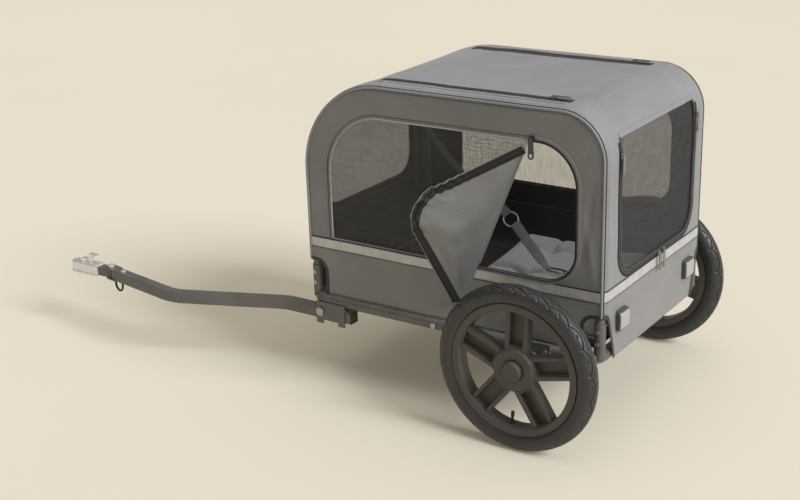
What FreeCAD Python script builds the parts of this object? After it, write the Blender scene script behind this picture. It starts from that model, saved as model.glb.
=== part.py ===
import FreeCAD, Part
import math
import os
import re
import Sketcher
from FreeCAD import Placement, Rotation, Vector

# Dog bike trailer, millimetres. -X is forward (to the hitch), -Y is the left side, +Z is up.
# The origin is on the ground at the middle of the trailer's box.
# Lengths ahead of or behind the axle are measured from the axle, heights from the rail's centre.

SIZES = {
    # Wheels
    "tyre_outer_r": 200,
    "tyre_section_r": 24,
    "tyre_wall": 4.5,
    "tyre_tread_extra": 1,
    "bead_r": 156,
    "wheel_out": 94,
    "rim_inner_r": 142,
    "rim_half_w": 19.5,
    "rim_flange_w": 2,
    "rim_flange_h": 3.3,
    "spoke_w": 54,
    "spoke_back": 12,
    "spoke_front": 14,
    "spoke_channel_w": 36,
    "spoke_channel_d": 18,
    "spoke_root": 10,
    "spoke_tip": 3,
    "spoke_count": 5,
    "spoke_angle": 86,
    "hub_boss_r": 52,
    "hub_front": 20,
    "hub_tail_r": 24,
    "hub_back": 28,
    "hub_recess_d": 8,
    "hub_bore_r": 9,
    "bearing_r": 16,
    "bearing_w": 10,
    "axle_r": 6.35,
    "axle_head_r": 11,
    "axle_head_t": 4,
    "axle_tip_gap": 0.5,
    "axle_chamfer": 1,
    "hub_gap": 0.5,
    "hub_chamfer": 4,
    "button_r": 25,
    "button_t": 12,
    "button_lift": 1,
    "button_side_gap": 0.8,
    "button_round": 4,
    "stem_r": 2.5,
    "stem_l": 31,
    "stem_spare": 5,
    "running_fit": 0.05,
    "slide_fit": 0.1,
    "press_gap": 0.05,
    "seat_gap": 0.3,
    # Bottom frame
    "rail_rise": 16,
    "rail_r": 14.2,
    "tube_wall": 2,
    "rail_bend_r": 32,
    "end_tube_clear": 0.5,
    "drill_over": 10,
    "rail_joint_ahead": 265,
    "sleeve_l": 120,
    "joint_bolt_ahead": 272,
    "cross_tube_r": 12,
    "front_cross_setback": 161,
    "rear_cross_behind": 70,
    "floor_t": 10,
    "floor_round": 12,
    "floor_side_gap": 2,
    # Uprights
    "hoop_r": 11,
    "hoop_side_gap": 0.5,
    "socket_wall": 2.2,
    "socket_high": 84,
    "socket_fit": 0.2,
    "socket_bolt_low": 38,
    "socket_bolt_high": 66,
    "socket_drill_over": 1,
    "bolt_sink": 0.2,
    "bar_r": 8,
    "front_bar_angle": 37,
    # Axle brackets and bolts
    "bracket_plate_t": 5,
    "bracket_plate_l": 90,
    "bracket_plate_low": 22,
    "bracket_plate_high": 36,
    "bush_r": 12,
    "bracket_bolt_spread": 60,
    "bolt_r": 4,
    "bolt_head_r": 7,
    "bolt_head_t": 4,
    "small_bolt_r": 2.5,
    "small_head_r": 5,
    "small_head_t": 2.6,
    "bolt_fit": 0.2,
    "joint_bolt_spare": 6,
    # Cabin fabric
    "cabin_length": 800,
    "cabin_rear": 159,
    "cabin_width": 544,
    "cabin_high": 559,
    "front_corner_r": 220,
    "rear_corner_r": 105,
    "cloth": 2.5,
    "edge_roll_w": 24,
    "edge_roll_h": 8,
    "stripe_low": 138,
    "stripe_w": 23,
    "skirt_drop": 9,
    "cutout_high": 103,
    "cutout_side_l": 46,
    "cutout_end_w": 38,
    "cutout_flare": 30,
    "cutout_r": 30,
    "piping_r": 3.5,
    "net_t": 1.2,
    # Door and windows
    "door_setback": 71,
    "door_behind": 96,
    "door_low": 168,
    "door_high": 486,
    "door_front_r": 150,
    "door_rear_top_r": 98,
    "door_rear_low_r": 75,
    "fold_top_setback": 124,
    "fold_low_setback": 246,
    "fold_open": 144,
    "fold_gap": 0.4,
    "flap_t": 3,
    "flap_gap": 10,
    "side_window_setback": 110,
    "side_window_behind": 50,
    "side_window_low": 199,
    "side_window_high": 474,
    "side_window_r": 60,
    "side_window_square_r": 8,
    "front_window_w": 396,
    "front_window_low": 208,
    "front_window_high": 474,
    "front_window_r": 60,
    "rear_window_w": 400,
    "rear_window_low": 178,
    "rear_window_high": 494,
    "rear_window_r": 60,
    "rear_window_top_r": 8,
    # Zips
    "tape_w": 14,
    "tape_t": 1.2,
    "roof_zip_y": 210,
    "roof_zip_setback": 231,
    "roof_zip_behind": 50,
    "slider_l": 14,
    "slider_w": 10,
    "slider_t": 5,
    "pull_l": 46,
    "pull_w": 9,
    "pull_t": 2,
    "bottom_slider_spread": 26,
    "bottom_slider_y": 20,
    # Reflectors
    "reflector_w": 52,
    "reflector_h": 48,
    "reflector_t": 10,
    "lens_inset": 4,
    "lens_t": 5,
    "reflector_spread": 376,
    "reflector_rise": 76,
    # Cushion and tether
    "cushion_l": 440,
    "cushion_behind": 130,
    "cushion_w": 486,
    "cushion_t": 52,
    "cushion_valley": 34,
    "cushion_edge": 20,
    "cushion_waist": 9,
    "cushion_rows": 4,
    "strap_w": 25,
    "strap_t": 2.5,
    "ring_ahead": 221,
    "ring_rise": 193,
    "ring_r": 16,
    "ring_wire_r": 2.5,
    "hook_ahead": 117,
    "hook_l": 52,
    "hook_w": 22,
    "hook_wire_r": 3,
    # Tow arm and hitch
    "arm_w": 28,
    "arm_wall": 2,
    "arm_drop": 36,
    "arm_tail_setback": 121,
    "near_bend_reach": 87,
    "far_bend_reach": 379,
    "far_bend_y": 388,
    "hitch_reach": 654,
    "hitch_y": 340,
    "arm_bend_r": 120,
    "arm_end_back": 30,
    "cap_t": 4,
    "cap_plug_l": 14,
    "bracket_setback": 19,
    "bracket_l": 87,
    "bracket_t": 3,
    "bracket_gap": 0.4,
    "bracket_low": 62,
    "bracket_high": 4,
    "bracket_web_rise": 0.8,
    "bracket_web_t": 5,
    "bracket_foot_l": 20,
    "bracket_foot_h": 10,
    "slot_over": 1,
    "arm_bolt_setback": 32,
    "arm_bolt_drop": 31,
    "yoke_t": 4,
    "yoke_round_r": 16,
    "yoke_plug_l": 54,
    "yoke_step": 4,
    "pivot_r": 5,
    "pivot_head_r": 9,
    "pivot_head_t": 6,
    "strap_bolt_gap": 2,
    "yoke_bolt_r": 3,
    "yoke_bolt_head_r": 7,
    "yoke_bolt_head_t": 3,
    "tongue_l": 70,
    "coupler_back": 40,
    "coupler_l": 106,
    "coupler_w": 34,
    "coupler_h": 30,
    "coupler_wall": 3,
    "coupler_flange": 4,
    "ball_r": 12.7,
    "ball_fit": 0.2,
    "ball_depth": 20,
    "ball_from_nose": 23,
    "lever_from_nose": 38,
    "lever_w": 10,
    "lever_pin_r": 2.5,
    "lever_gap": 0.5,
    "lever_belly": 0.4,
    "lever_eye_r": 5,
    "lever_rise": 27,
    "lever_reach": 58,
    "lug_t": 3,
    "lug_root": 1,
    "safety_r": 3,
    "safety_drop": 26,
    "safety_span": 26,
    "safety_set_back": 2,
}

DERIVED = {
    "axle_z": "tyre_outer_r",
    "tyre_ring_r": "tyre_outer_r - tyre_section_r",
    "seat_r": "bead_r - seat_gap",
    "flange_r": "seat_r + rim_flange_h",
    "recess_r": "button_r + button_side_gap",
    "recess_y": "hub_front - hub_recess_d",
    "bearing_bore_r": "axle_r + running_fit",
    "bearing_pocket_r": "bearing_r + press_gap",
    "rail_z": "axle_z + rail_rise",
    "rail_y": "cabin_width / 2",
    "wheel_y": "rail_y + wheel_out",
    "cabin_half": "cabin_width / 2",
    "cabin_front": "cabin_length - cabin_rear",
    "far": "2 * (cabin_length + cabin_width)",
    "front_cross_ahead": "cabin_front - front_cross_setback",
    "door_ahead": "cabin_front - door_setback",
    "fold_top_ahead": "fold_top_setback - door_behind",
    "fold_low_ahead": "fold_low_setback - door_behind",
    "side_window_ahead": "cabin_front - side_window_setback",
    "roof_zip_ahead": "cabin_front - roof_zip_setback",
    "arm_tail_ahead": "cabin_front - arm_tail_setback",
    "near_bend_ahead": "cabin_front + near_bend_reach",
    "far_bend_ahead": "cabin_front + far_bend_reach",
    "hitch_ahead": "cabin_front + hitch_reach",
    "bracket_ahead": "cabin_front - bracket_setback",
    "arm_bolt_ahead": "cabin_front - arm_bolt_setback",
    "nose_ahead": "hitch_ahead + coupler_back + coupler_l",
    "axle_x": "(nose_ahead - tyre_outer_r) / 2",
    "top_z": "rail_z + cabin_high",
    "roll_r": "(edge_roll_w * edge_roll_w + edge_roll_h * edge_roll_h) / (2 * edge_roll_h)",
    "hoop_y": "cabin_half - cloth - hoop_side_gap - hoop_r",
    "end_tube_gap": "edge_roll_h - cloth - end_tube_clear - rail_r",
    "rail_front": "cabin_front + end_tube_gap",
    "rail_rear": "cabin_rear + end_tube_gap",
    "socket_r": "hoop_r + socket_fit + socket_wall",
    "floor_low": "rail_z + rail_r + seat_gap",
    "floor_high": "floor_low + floor_t",
    "floor_w": "2 * (hoop_y - socket_r - floor_side_gap)",
    "cross_tube_z": "rail_z + rail_r - cross_tube_r",
    "arm_z": "rail_z - arm_drop",
    "safety_end": "yoke_round_r + safety_set_back + safety_span",
    "yoke_bolt_back": "safety_end + safety_r + strap_bolt_gap + yoke_bolt_head_r",
    "bracket_half": "arm_w / 2 + bracket_gap",
    "plate_y": "rail_y + rail_r + seat_gap",
    "axle_inner_y": "plate_y + bracket_plate_t + axle_tip_gap",
    "hub_face": "wheel_y - hub_back - hub_gap",
    "lever_z": "arm_z + coupler_h / 2 + lever_eye_r + lever_gap",
}

doc = FreeCAD.newDocument("dog_bike_trailer")
nodes = []


def formula(text):
    """Point the size names in an expression at their sheets."""
    def located(match):
        word = match.group(0)
        if word in SIZES:
            return "sizes." + word
        if word in DERIVED:
            return "derived." + word
        return word
    return re.sub(r"[a-z][a-z_]*", located, text)


def make_sheet(name, cells):
    sheet = doc.addObject("Spreadsheet::Sheet", name)
    for row, (alias, text) in enumerate(cells.items(), start=1):
        sheet.set(f"A{row}", alias)
        sheet.set(f"B{row}", text)
        sheet.setAlias(f"B{row}", alias)
    doc.recompute()
    return sheet


sizes = make_sheet("sizes", {alias: str(number) for alias, number in SIZES.items()})
derived = make_sheet("derived", {alias: "=" + formula(text) for alias, text in DERIVED.items()})


class Values:
    """The sheets' numbers, for shapes that are worked out in code."""

    def __getattr__(self, alias):
        sheet = sizes if alias in SIZES else derived
        return float(sheet.get(alias))


S = Values()
LEFT, RIGHT = -1, 1
SIDES = {"left": LEFT, "right": RIGHT}


# Helpers for document objects

def bind(obj, **expressions):
    for name, text in expressions.items():
        obj.setExpression(name.replace("_Base_", ".Base."), formula(text))
    return obj


def place(obj, x="0", y="0", z="0", rotation=None):
    """Set an object down at a point given from the axle's middle on the ground."""
    obj.Placement = Placement(Vector(), rotation or Rotation())
    bind(obj, Placement_Base_x=f"axle_x + {x}", Placement_Base_y=y, Placement_Base_z=z)
    return obj


def keep(obj, label):
    obj.Label = label
    nodes.append(obj)
    return obj


def keep_shape(label, shape):
    """A piece whose shape is worked out in code, from the axle's middle on the ground."""
    obj = doc.addObject("Part::Feature", label)
    obj.Shape = shape
    obj.Placement = Placement(Vector(S.axle_x, 0, 0), Rotation()).multiply(shape.Placement)
    return keep(obj, label)


ALONG = {
    "x": Rotation(Vector(0, 1, 0), 90),
    "y": Rotation(Vector(1, 0, 0), -90),
    "z": Rotation(),
}


def cylinder(name, radius, height, x, y, z, axis="z"):
    obj = doc.addObject("Part::Cylinder", name)
    bind(obj, Radius=radius, Height=height)
    return place(obj, x, y, z, ALONG[axis])


def box(name, length, width, height, x, y, z):
    obj = doc.addObject("Part::Box", name)
    bind(obj, Length=length, Width=width, Height=height)
    return place(obj, x, y, z)


def cut(name, base, tool):
    obj = doc.addObject("Part::Cut", name)
    obj.Base = base
    obj.Tool = tool
    return obj


def fuse(name, shapes):
    obj = doc.addObject("Part::MultiFuse", name)
    obj.Shapes = shapes
    return obj


def group(name, links):
    obj = doc.addObject("Part::Compound", name)
    obj.Links = links
    return obj


def new_body(name):
    return doc.addObject("PartDesign::Body", name)


def new_sketch(body, name, role):
    sketch = body.newObject("Sketcher::SketchObject", name)
    plane = next(item for item in body.Origin.OriginFeatures if item.Role == role)
    sketch.AttachmentSupport = [(plane, "")]
    sketch.MapMode = "FlatFace"
    return sketch


def tie_point(sketch, element, vertex, x, y, start):
    """Hold a sketch point at two expressions, measured from the sketch's origin."""
    for kind, text, number in (("DistanceX", x, start.x), ("DistanceY", y, start.y)):
        index = sketch.addConstraint(Sketcher.Constraint(kind, -1, 1, element, vertex, number))
        sketch.setExpression(f"Constraints[{index}]", formula(text))


def draw_polygon(sketch, corners):
    """Straight outline whose corners are pairs of expressions."""
    first = sketch.GeometryCount
    count = len(corners)
    starts = []
    for i in range(count):
        angle = 2 * math.pi * i / count
        starts.append(Vector(10 * math.cos(angle), 10 * math.sin(angle), 0))
    for i in range(count):
        sketch.addGeometry(Part.LineSegment(starts[i], starts[(i + 1) % count]), False)
    for i in range(count):
        sketch.addConstraint(Sketcher.Constraint("Coincident", first + i, 2, first + (i + 1) % count, 1))
    for i, (x, y) in enumerate(corners):
        tie_point(sketch, first + i, 1, x, y, starts[i])


def draw_circle(sketch, x, y, radius):
    element = sketch.addGeometry(Part.Circle(Vector(5, 5, 0), Vector(0, 0, 1), 3), False)
    tie_point(sketch, element, 3, x, y, Vector(5, 5, 0))
    index = sketch.addConstraint(Sketcher.Constraint("Radius", element, 3))
    sketch.setExpression(f"Constraints[{index}]", formula(radius))


def revolved_body(name, corners):
    """Body turned about its own Z axis from an outline of radius and height."""
    body = new_body(name)
    sketch = new_sketch(body, name + "_outline", "XZ_Plane")
    draw_polygon(sketch, corners)
    turn = body.newObject("PartDesign::Revolution", name + "_turn")
    turn.Profile = sketch
    turn.ReferenceAxis = (sketch, ["V_Axis"])
    turn.Angle = 360
    return body


def padded_body(name, role, corners, length, circles=()):
    """Body padded to both sides of one of its origin planes."""
    body = new_body(name)
    sketch = new_sketch(body, name + "_outline", role)
    draw_polygon(sketch, corners)
    for circle in circles:
        draw_circle(sketch, *circle)
    pad = body.newObject("PartDesign::Pad", name + "_pad")
    pad.Profile = sketch
    pad.Midplane = True
    bind(pad, Length=length)
    return body


def round_edges(body, name, base, edges, radius):
    doc.recompute()
    fillet = body.newObject("PartDesign::Fillet", name)
    fillet.Base = (base, edges)
    bind(fillet, Radius=radius)
    return fillet


def edges_along(shape, direction):
    """Names of the straight edges that run along a direction."""
    names = []
    for number, edge in enumerate(shape.Edges, start=1):
        if edge.Curve.TypeId != "Part::GeomLine":
            continue
        if abs(edge.Curve.Direction.dot(direction)) > 0.999:
            names.append(f"Edge{number}")
    return names


# Helpers for shapes worked out in code

def rounded_edges(points, radii, closed=False):
    """Straight runs through the points, with a tangent arc of the given radius at each corner."""
    count = len(points)
    corners = []
    for i, (point, radius) in enumerate(zip(points, radii)):
        if radius == 0:
            corners.append((point, None, point))
            continue
        before = (point - points[i - 1]).normalize()
        after = (points[(i + 1) % count] - point).normalize()
        half_turn = before.getAngle(after) / 2
        reach = radius * math.tan(half_turn)
        inward = (after - before).normalize()
        depth = radius / math.cos(half_turn) - radius
        corners.append((point - before * reach, point + inward * depth, point + after * reach))
    edges = []
    for i, (start, middle, end) in enumerate(corners):
        if middle:
            edges.append(Part.Arc(start, middle, end).toShape())
        if closed or i + 1 < count:
            following = corners[(i + 1) % count][0]
            edges.append(Part.LineSegment(end, following).toShape())
    return edges


def prism(points, radii, direction):
    wire = Part.Wire(rounded_edges(points, radii, closed=True))
    return Part.Face(wire).extrude(direction)


def window_prism(plane, low, high, radii):
    """Rounded rectangle through a wall: plane "y" looks along Y, plane "x" looks along X."""
    (u0, w0), (u1, w1) = low, high
    flat = [(u0, w0), (u0, w1), (u1, w1), (u1, w0)]
    reach = 2 * S.cabin_length
    if plane == "y":
        points = [Vector(u, -reach, w) for u, w in flat]
        return prism(points, radii, Vector(0, 2 * reach, 0))
    points = [Vector(-reach, u, w) for u, w in flat]
    return prism(points, radii, Vector(2 * reach, 0, 0))


def half_space(x0, x1, y0, y1, z0, z1):
    return Part.makeBox(x1 - x0, y1 - y0, z1 - z0, Vector(x0, y0, z0))


def offset_path(points, distance):
    """Flat path moved sideways in its horizontal plane, with mitred corners."""
    moved = []
    for i, point in enumerate(points):
        normals = []
        for j in (i - 1, i):
            if 0 <= j < len(points) - 1:
                run = (points[j + 1] - points[j]).normalize()
                normals.append(Vector(-run.y, run.x, 0))
        between = (normals[0] + normals[-1]).normalize()
        moved.append(point + between * (distance / between.dot(normals[0])))
    return moved


def ribbon(points, turn_r, half_w):
    """Flat band along a path that turns with the given radius at its inner points."""
    def side(distance):
        path = offset_path(points, distance)
        radii = [0] * len(path)
        for i in range(1, len(path) - 1):
            before = points[i] - points[i - 1]
            after = points[i + 1] - points[i]
            turn = math.copysign(1, before.cross(after).z)
            radii[i] = turn_r - turn * distance
        return path, radii
    left, left_radii = side(half_w)
    right, right_radii = side(-half_w)
    wire = Part.Wire(rounded_edges(left + right[::-1], left_radii + right_radii[::-1], closed=True))
    return Part.Face(wire)


def tube(name, wire, radius, wall):
    """Hollow round tube along a wire of lines and tangent arcs."""
    spine = doc.addObject("Part::Feature", name + "_line")
    spine.Shape = wire
    spine.Placement = Placement(Vector(S.axle_x, 0, 0), Rotation())
    start = spine.Shape.OrderedVertexes[0].Point
    first = spine.Shape.OrderedEdges[0]
    heading = first.tangentAt(first.FirstParameter)
    if (first.valueAt(first.FirstParameter) - start).Length > 0.001:
        heading = first.tangentAt(first.LastParameter) * -1
    sweeps = []
    for part, text in (("outer", radius), ("inner", f"{radius} - {wall}")):
        ring = doc.addObject("Part::Circle", f"{name}_{part}_ring")
        bind(ring, Radius=text)
        ring.Placement = Placement(start, Rotation(Vector(0, 0, 1), heading))
        sweep = doc.addObject("Part::Sweep", f"{name}_{part}")
        sweep.Sections = [ring]
        sweep.Spine = (spine, [f"Edge{i + 1}" for i in range(len(spine.Shape.Edges))])
        sweep.Solid = True
        sweep.Frenet = False
        sweeps.append(sweep)
    return cut(name, *sweeps)


def pipe(name, radius, wall, length, x, y, z, axis):
    """Straight hollow tube."""
    outer = cylinder(name + "_outer", radius, length, x, y, z, axis)
    inner = cylinder(name + "_inner", f"{radius} - {wall}", length, x, y, z, axis)
    return cut(name, outer, inner)


def bolt(name, radius, head_r, head_t, length, x, y, z, side):
    """Bolt along Y: its head faces outward on the given side, with its underside at y."""
    base = y if side == RIGHT else f"{y} - ({head_t})"
    head = cylinder(name + "_head", head_r, head_t, x, base, z, "y")
    shank_base = f"{y} - ({length})" if side == RIGHT else y
    shank = cylinder(name + "_shank", radius, length, x, shank_base, z, "y")
    return fuse(name, [head, shank])


# Bottom frame

def rail_wire(end_x, joint_x):
    """One bow of the bottom frame: along a rail, across, and back along the other rail."""
    points = [
        Vector(joint_x, -S.rail_y, S.rail_z),
        Vector(end_x, -S.rail_y, S.rail_z),
        Vector(end_x, S.rail_y, S.rail_z),
        Vector(joint_x, S.rail_y, S.rail_z),
    ]
    return Part.Wire(rounded_edges(points, [0, S.rail_bend_r, S.rail_bend_r, 0]))


def rail_holes(name, places):
    """Drills through both rails, at the given places ahead of the axle."""
    tools = []
    for i, x in enumerate(places):
        length = "2 * (rail_y + rail_r + drill_over)"
        tools.append(cylinder(f"{name}_{i}", "bolt_r + bolt_fit", length, x, "-(rail_y + rail_r + drill_over)",
                              "rail_z", "y"))
    return fuse(name, tools) if len(tools) > 1 else tools[0]


def build_bottom_frame():
    half_gap = S.seat_gap / 2
    front = tube("front_bow_tube", rail_wire(-S.rail_front, -S.rail_joint_ahead - half_gap), "rail_r", "tube_wall")
    rear = tube("rear_bow_tube", rail_wire(S.rail_rear, -S.rail_joint_ahead + half_gap), "rail_r", "tube_wall")
    joint_holes = rail_holes("joint_drills", ["-joint_bolt_ahead"])
    bracket_holes = rail_holes("bracket_drills", ["bracket_bolt_spread / 2", "-bracket_bolt_spread / 2"])
    keep(cut("front_bow", front, joint_holes), "front_frame_bow")
    keep(cut("rear_bow", rear, bracket_holes), "rear_frame_bow")
    sleeves = []
    for side, sign in SIDES.items():
        sleeve = pipe(f"{side}_sleeve", "rail_r - tube_wall - slide_fit", "tube_wall", "sleeve_l",
                      "-rail_joint_ahead - sleeve_l / 2", f"{sign} * rail_y", "rail_z", "x")
        sleeves.append(cut(f"{side}_sleeve_drilled", sleeve, joint_holes))
    keep(group("sleeves", sleeves), "rail_joint_sleeves")
    length = "2 * (rail_y - rail_r - seat_gap)"
    start = "-(rail_y - rail_r - seat_gap)"
    tubes = [
        pipe("front_cross", "cross_tube_r", "tube_wall", length, "-front_cross_ahead", start, "cross_tube_z", "y"),
        pipe("rear_cross", "cross_tube_r", "tube_wall", length, "rear_cross_behind", start, "cross_tube_z", "y"),
    ]
    keep(group("cross_tubes", tubes), "floor_cross_tubes")


def build_floor():
    ahead = "(rail_front - rail_r)"
    behind = "(rail_rear - rail_r)"
    corners = [
        (f"-{ahead}", "-floor_w / 2"),
        (behind, "-floor_w / 2"),
        (behind, "floor_w / 2"),
        (f"-{ahead}", "floor_w / 2"),
    ]
    body = padded_body("floor", "XY_Plane", corners, "floor_t")
    doc.recompute()
    pad = body.Tip
    round_edges(body, "floor_corners", pad, edges_along(pad.Shape, Vector(0, 0, 1)), "floor_round")
    place(body, z="floor_low + floor_t / 2")
    keep(body, "floor_board")


# Uprights

def hoop_inset():
    """How far the hoop's line lies inside the seam, nested under the rolled edge of the cloth."""
    across = S.hoop_y - (S.cabin_half - S.edge_roll_w)
    reach = S.roll_r - S.cloth - S.seat_gap - S.hoop_r
    return S.roll_r - S.edge_roll_h - math.sqrt(reach * reach - across * across)


def side_outline(inset, low, y):
    """Corners and radii of the cabin's side seam, moved inward."""
    front = -S.cabin_front + inset
    rear = S.cabin_rear - inset
    high = S.top_z - inset
    points = [Vector(front, y, low), Vector(front, y, high), Vector(rear, y, high), Vector(rear, y, low)]
    return points, [0, S.front_corner_r - inset, S.rear_corner_r - inset, 0]


def corner_places():
    inset = hoop_inset()
    places = []
    for end_x in (-S.cabin_front + inset, S.cabin_rear - inset):
        for side, sign in SIDES.items():
            places.append((end_x, side, sign))
    return places


def build_uprights():
    inset = hoop_inset()
    hoop_foot = S.rail_z + S.rail_r + S.seat_gap
    saddles = []
    for end, end_x in (("front", -S.rail_front), ("rear", S.rail_rear)):
        wire = rail_wire(end_x, 0)
        saddles.append(tube(f"{end}_saddle", wire, "rail_r + socket_fit", "tube_wall").Base)
    saddle = fuse("saddles", saddles)
    drills = []
    sockets = []
    bolts = []
    for end_x, side, sign in corner_places():
        name = f"{'front' if end_x < 0 else 'rear'}_{side}_socket"
        x = str(end_x)
        y = f"{sign} * hoop_y"
        outer = cylinder(name + "_outer", "socket_r", "socket_high", x, y, "rail_z")
        inner = cylinder(name + "_inner", "hoop_r + socket_fit", "socket_high", x, y, "rail_z")
        sockets.append(cut(name, cut(name + "_tube", outer, inner), saddle))
        for level in ("low", "high"):
            z = f"rail_z + socket_bolt_{level}"
            drill = cylinder(f"{name}_drill_{level}", "small_bolt_r + bolt_fit",
                             "2 * (socket_r + socket_drill_over)", x, f"{y} - socket_r - socket_drill_over", z, "y")
            drills.append(drill)
            bolts.append(bolt(f"{name}_bolt_{level}", "small_bolt_r", "small_head_r", "small_head_t",
                              "2 * socket_r - socket_drill_over", x,
                              f"{sign} * (hoop_y + socket_r - bolt_sink)", z, sign))
    drilling = fuse("socket_drills", drills)
    heads = fuse("socket_bolt_solids", bolts)
    sockets = [cut(item.Name + "_drilled", cut(item.Name + "_drill", item, drilling), heads) for item in sockets]
    keep(group("sockets", sockets), "corner_sockets")
    for side, sign in SIDES.items():
        points, radii = side_outline(inset, hoop_foot, sign * S.hoop_y)
        hoop = tube(f"{side}_hoop_tube", Part.Wire(rounded_edges(points, radii)), "hoop_r", "tube_wall")
        keep(cut(f"{side}_hoop", hoop, drilling), f"{side}_side_hoop")
    bars = []
    bend_r = S.front_corner_r - inset
    angle = math.radians(S.front_bar_angle)
    front_x = -S.cabin_front + S.front_corner_r - bend_r * math.sin(angle)
    front_z = S.top_z - S.front_corner_r + bend_r * math.cos(angle)
    rear_x = S.cabin_rear - S.rear_corner_r
    rear_z = S.top_z - inset
    length = "2 * (hoop_y - hoop_r - seat_gap)"
    for name, x, z in (("front_bar", front_x, front_z), ("rear_bar", rear_x, rear_z)):
        bars.append(pipe(name, "bar_r", "tube_wall", length, str(x), "-(hoop_y - hoop_r - seat_gap)", str(z), "y"))
    keep(group("roof_bars", bars), "roof_crossbars")
    return bolts, Vector(front_x, 0, front_z)


# Axle brackets and the bolts of the frame

def build_axle_brackets():
    brackets = []
    bolts = []
    for side, sign in SIDES.items():
        near = "plate_y" if sign == RIGHT else "-plate_y - bracket_plate_t"
        plate = box(f"{side}_plate", "bracket_plate_l", "bracket_plate_t",
                    "bracket_plate_low + bracket_plate_high", "-bracket_plate_l / 2", near,
                    "axle_z - bracket_plate_low")
        start = "plate_y" if sign == RIGHT else "-hub_face"
        bush = cylinder(f"{side}_bush", "bush_r", "hub_face - plate_y", "0", start, "axle_z", "y")
        bore = cylinder(f"{side}_bush_bore", "axle_r + running_fit", "hub_face - plate_y", "0", start,
                        "axle_z", "y")
        tools = [bore]
        for place_x in (f"-bracket_bolt_spread / 2", "bracket_bolt_spread / 2"):
            name = f"{side}_bracket_bolt_{len(tools)}"
            tools.append(cylinder(name + "_hole", "bolt_r + bolt_fit", "bracket_plate_t", place_x, near,
                                  "rail_z", "y"))
            bolts.append(bolt(name, "bolt_r", "bolt_head_r", "bolt_head_t",
                              "bracket_plate_t + 2 * rail_r + seat_gap", place_x,
                              f"{sign} * (plate_y + bracket_plate_t)", "rail_z", sign))
        solid = fuse(f"{side}_bracket_solid", [plate, bush])
        brackets.append(cut(f"{side}_bracket", solid, fuse(f"{side}_bracket_holes", tools)))
    keep(group("axle_bracket_pair", brackets), "axle_brackets")
    return bolts


def build_frame_bolts(bolts):
    for side, sign in SIDES.items():
        bolts.append(bolt(f"{side}_joint_bolt", "bolt_r", "bolt_head_r", "bolt_head_t",
                          "2 * rail_r + joint_bolt_spare", "-joint_bolt_ahead", f"{sign} * (rail_y + rail_r)", "rail_z", sign))
    keep(group("frame_bolt_set", bolts), "frame_bolts")


# Wheels

def rim_outline():
    back, front = "-rim_half_w", "rim_half_w"
    return [
        ("rim_inner_r", back),
        ("flange_r", back),
        ("flange_r", f"{back} + rim_flange_w"),
        ("seat_r", f"{back} + rim_flange_w"),
        ("seat_r", f"{front} - rim_flange_w"),
        ("flange_r", f"{front} - rim_flange_w"),
        ("flange_r", front),
        ("rim_inner_r", front),
    ]


def hub_outline():
    return [
        ("hub_bore_r", "-hub_back + bearing_w"),
        ("bearing_pocket_r", "-hub_back + bearing_w"),
        ("bearing_pocket_r", "-hub_back"),
        ("hub_tail_r", "-hub_back"),
        ("hub_tail_r", "-spoke_back"),
        ("hub_boss_r", "-spoke_back"),
        ("hub_boss_r", "hub_front - hub_chamfer"),
        ("hub_boss_r - hub_chamfer", "hub_front"),
        ("recess_r", "hub_front"),
        ("recess_r", "recess_y"),
        ("bearing_pocket_r", "recess_y"),
        ("bearing_pocket_r", "recess_y - bearing_w"),
        ("hub_bore_r", "recess_y - bearing_w"),
    ]


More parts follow.
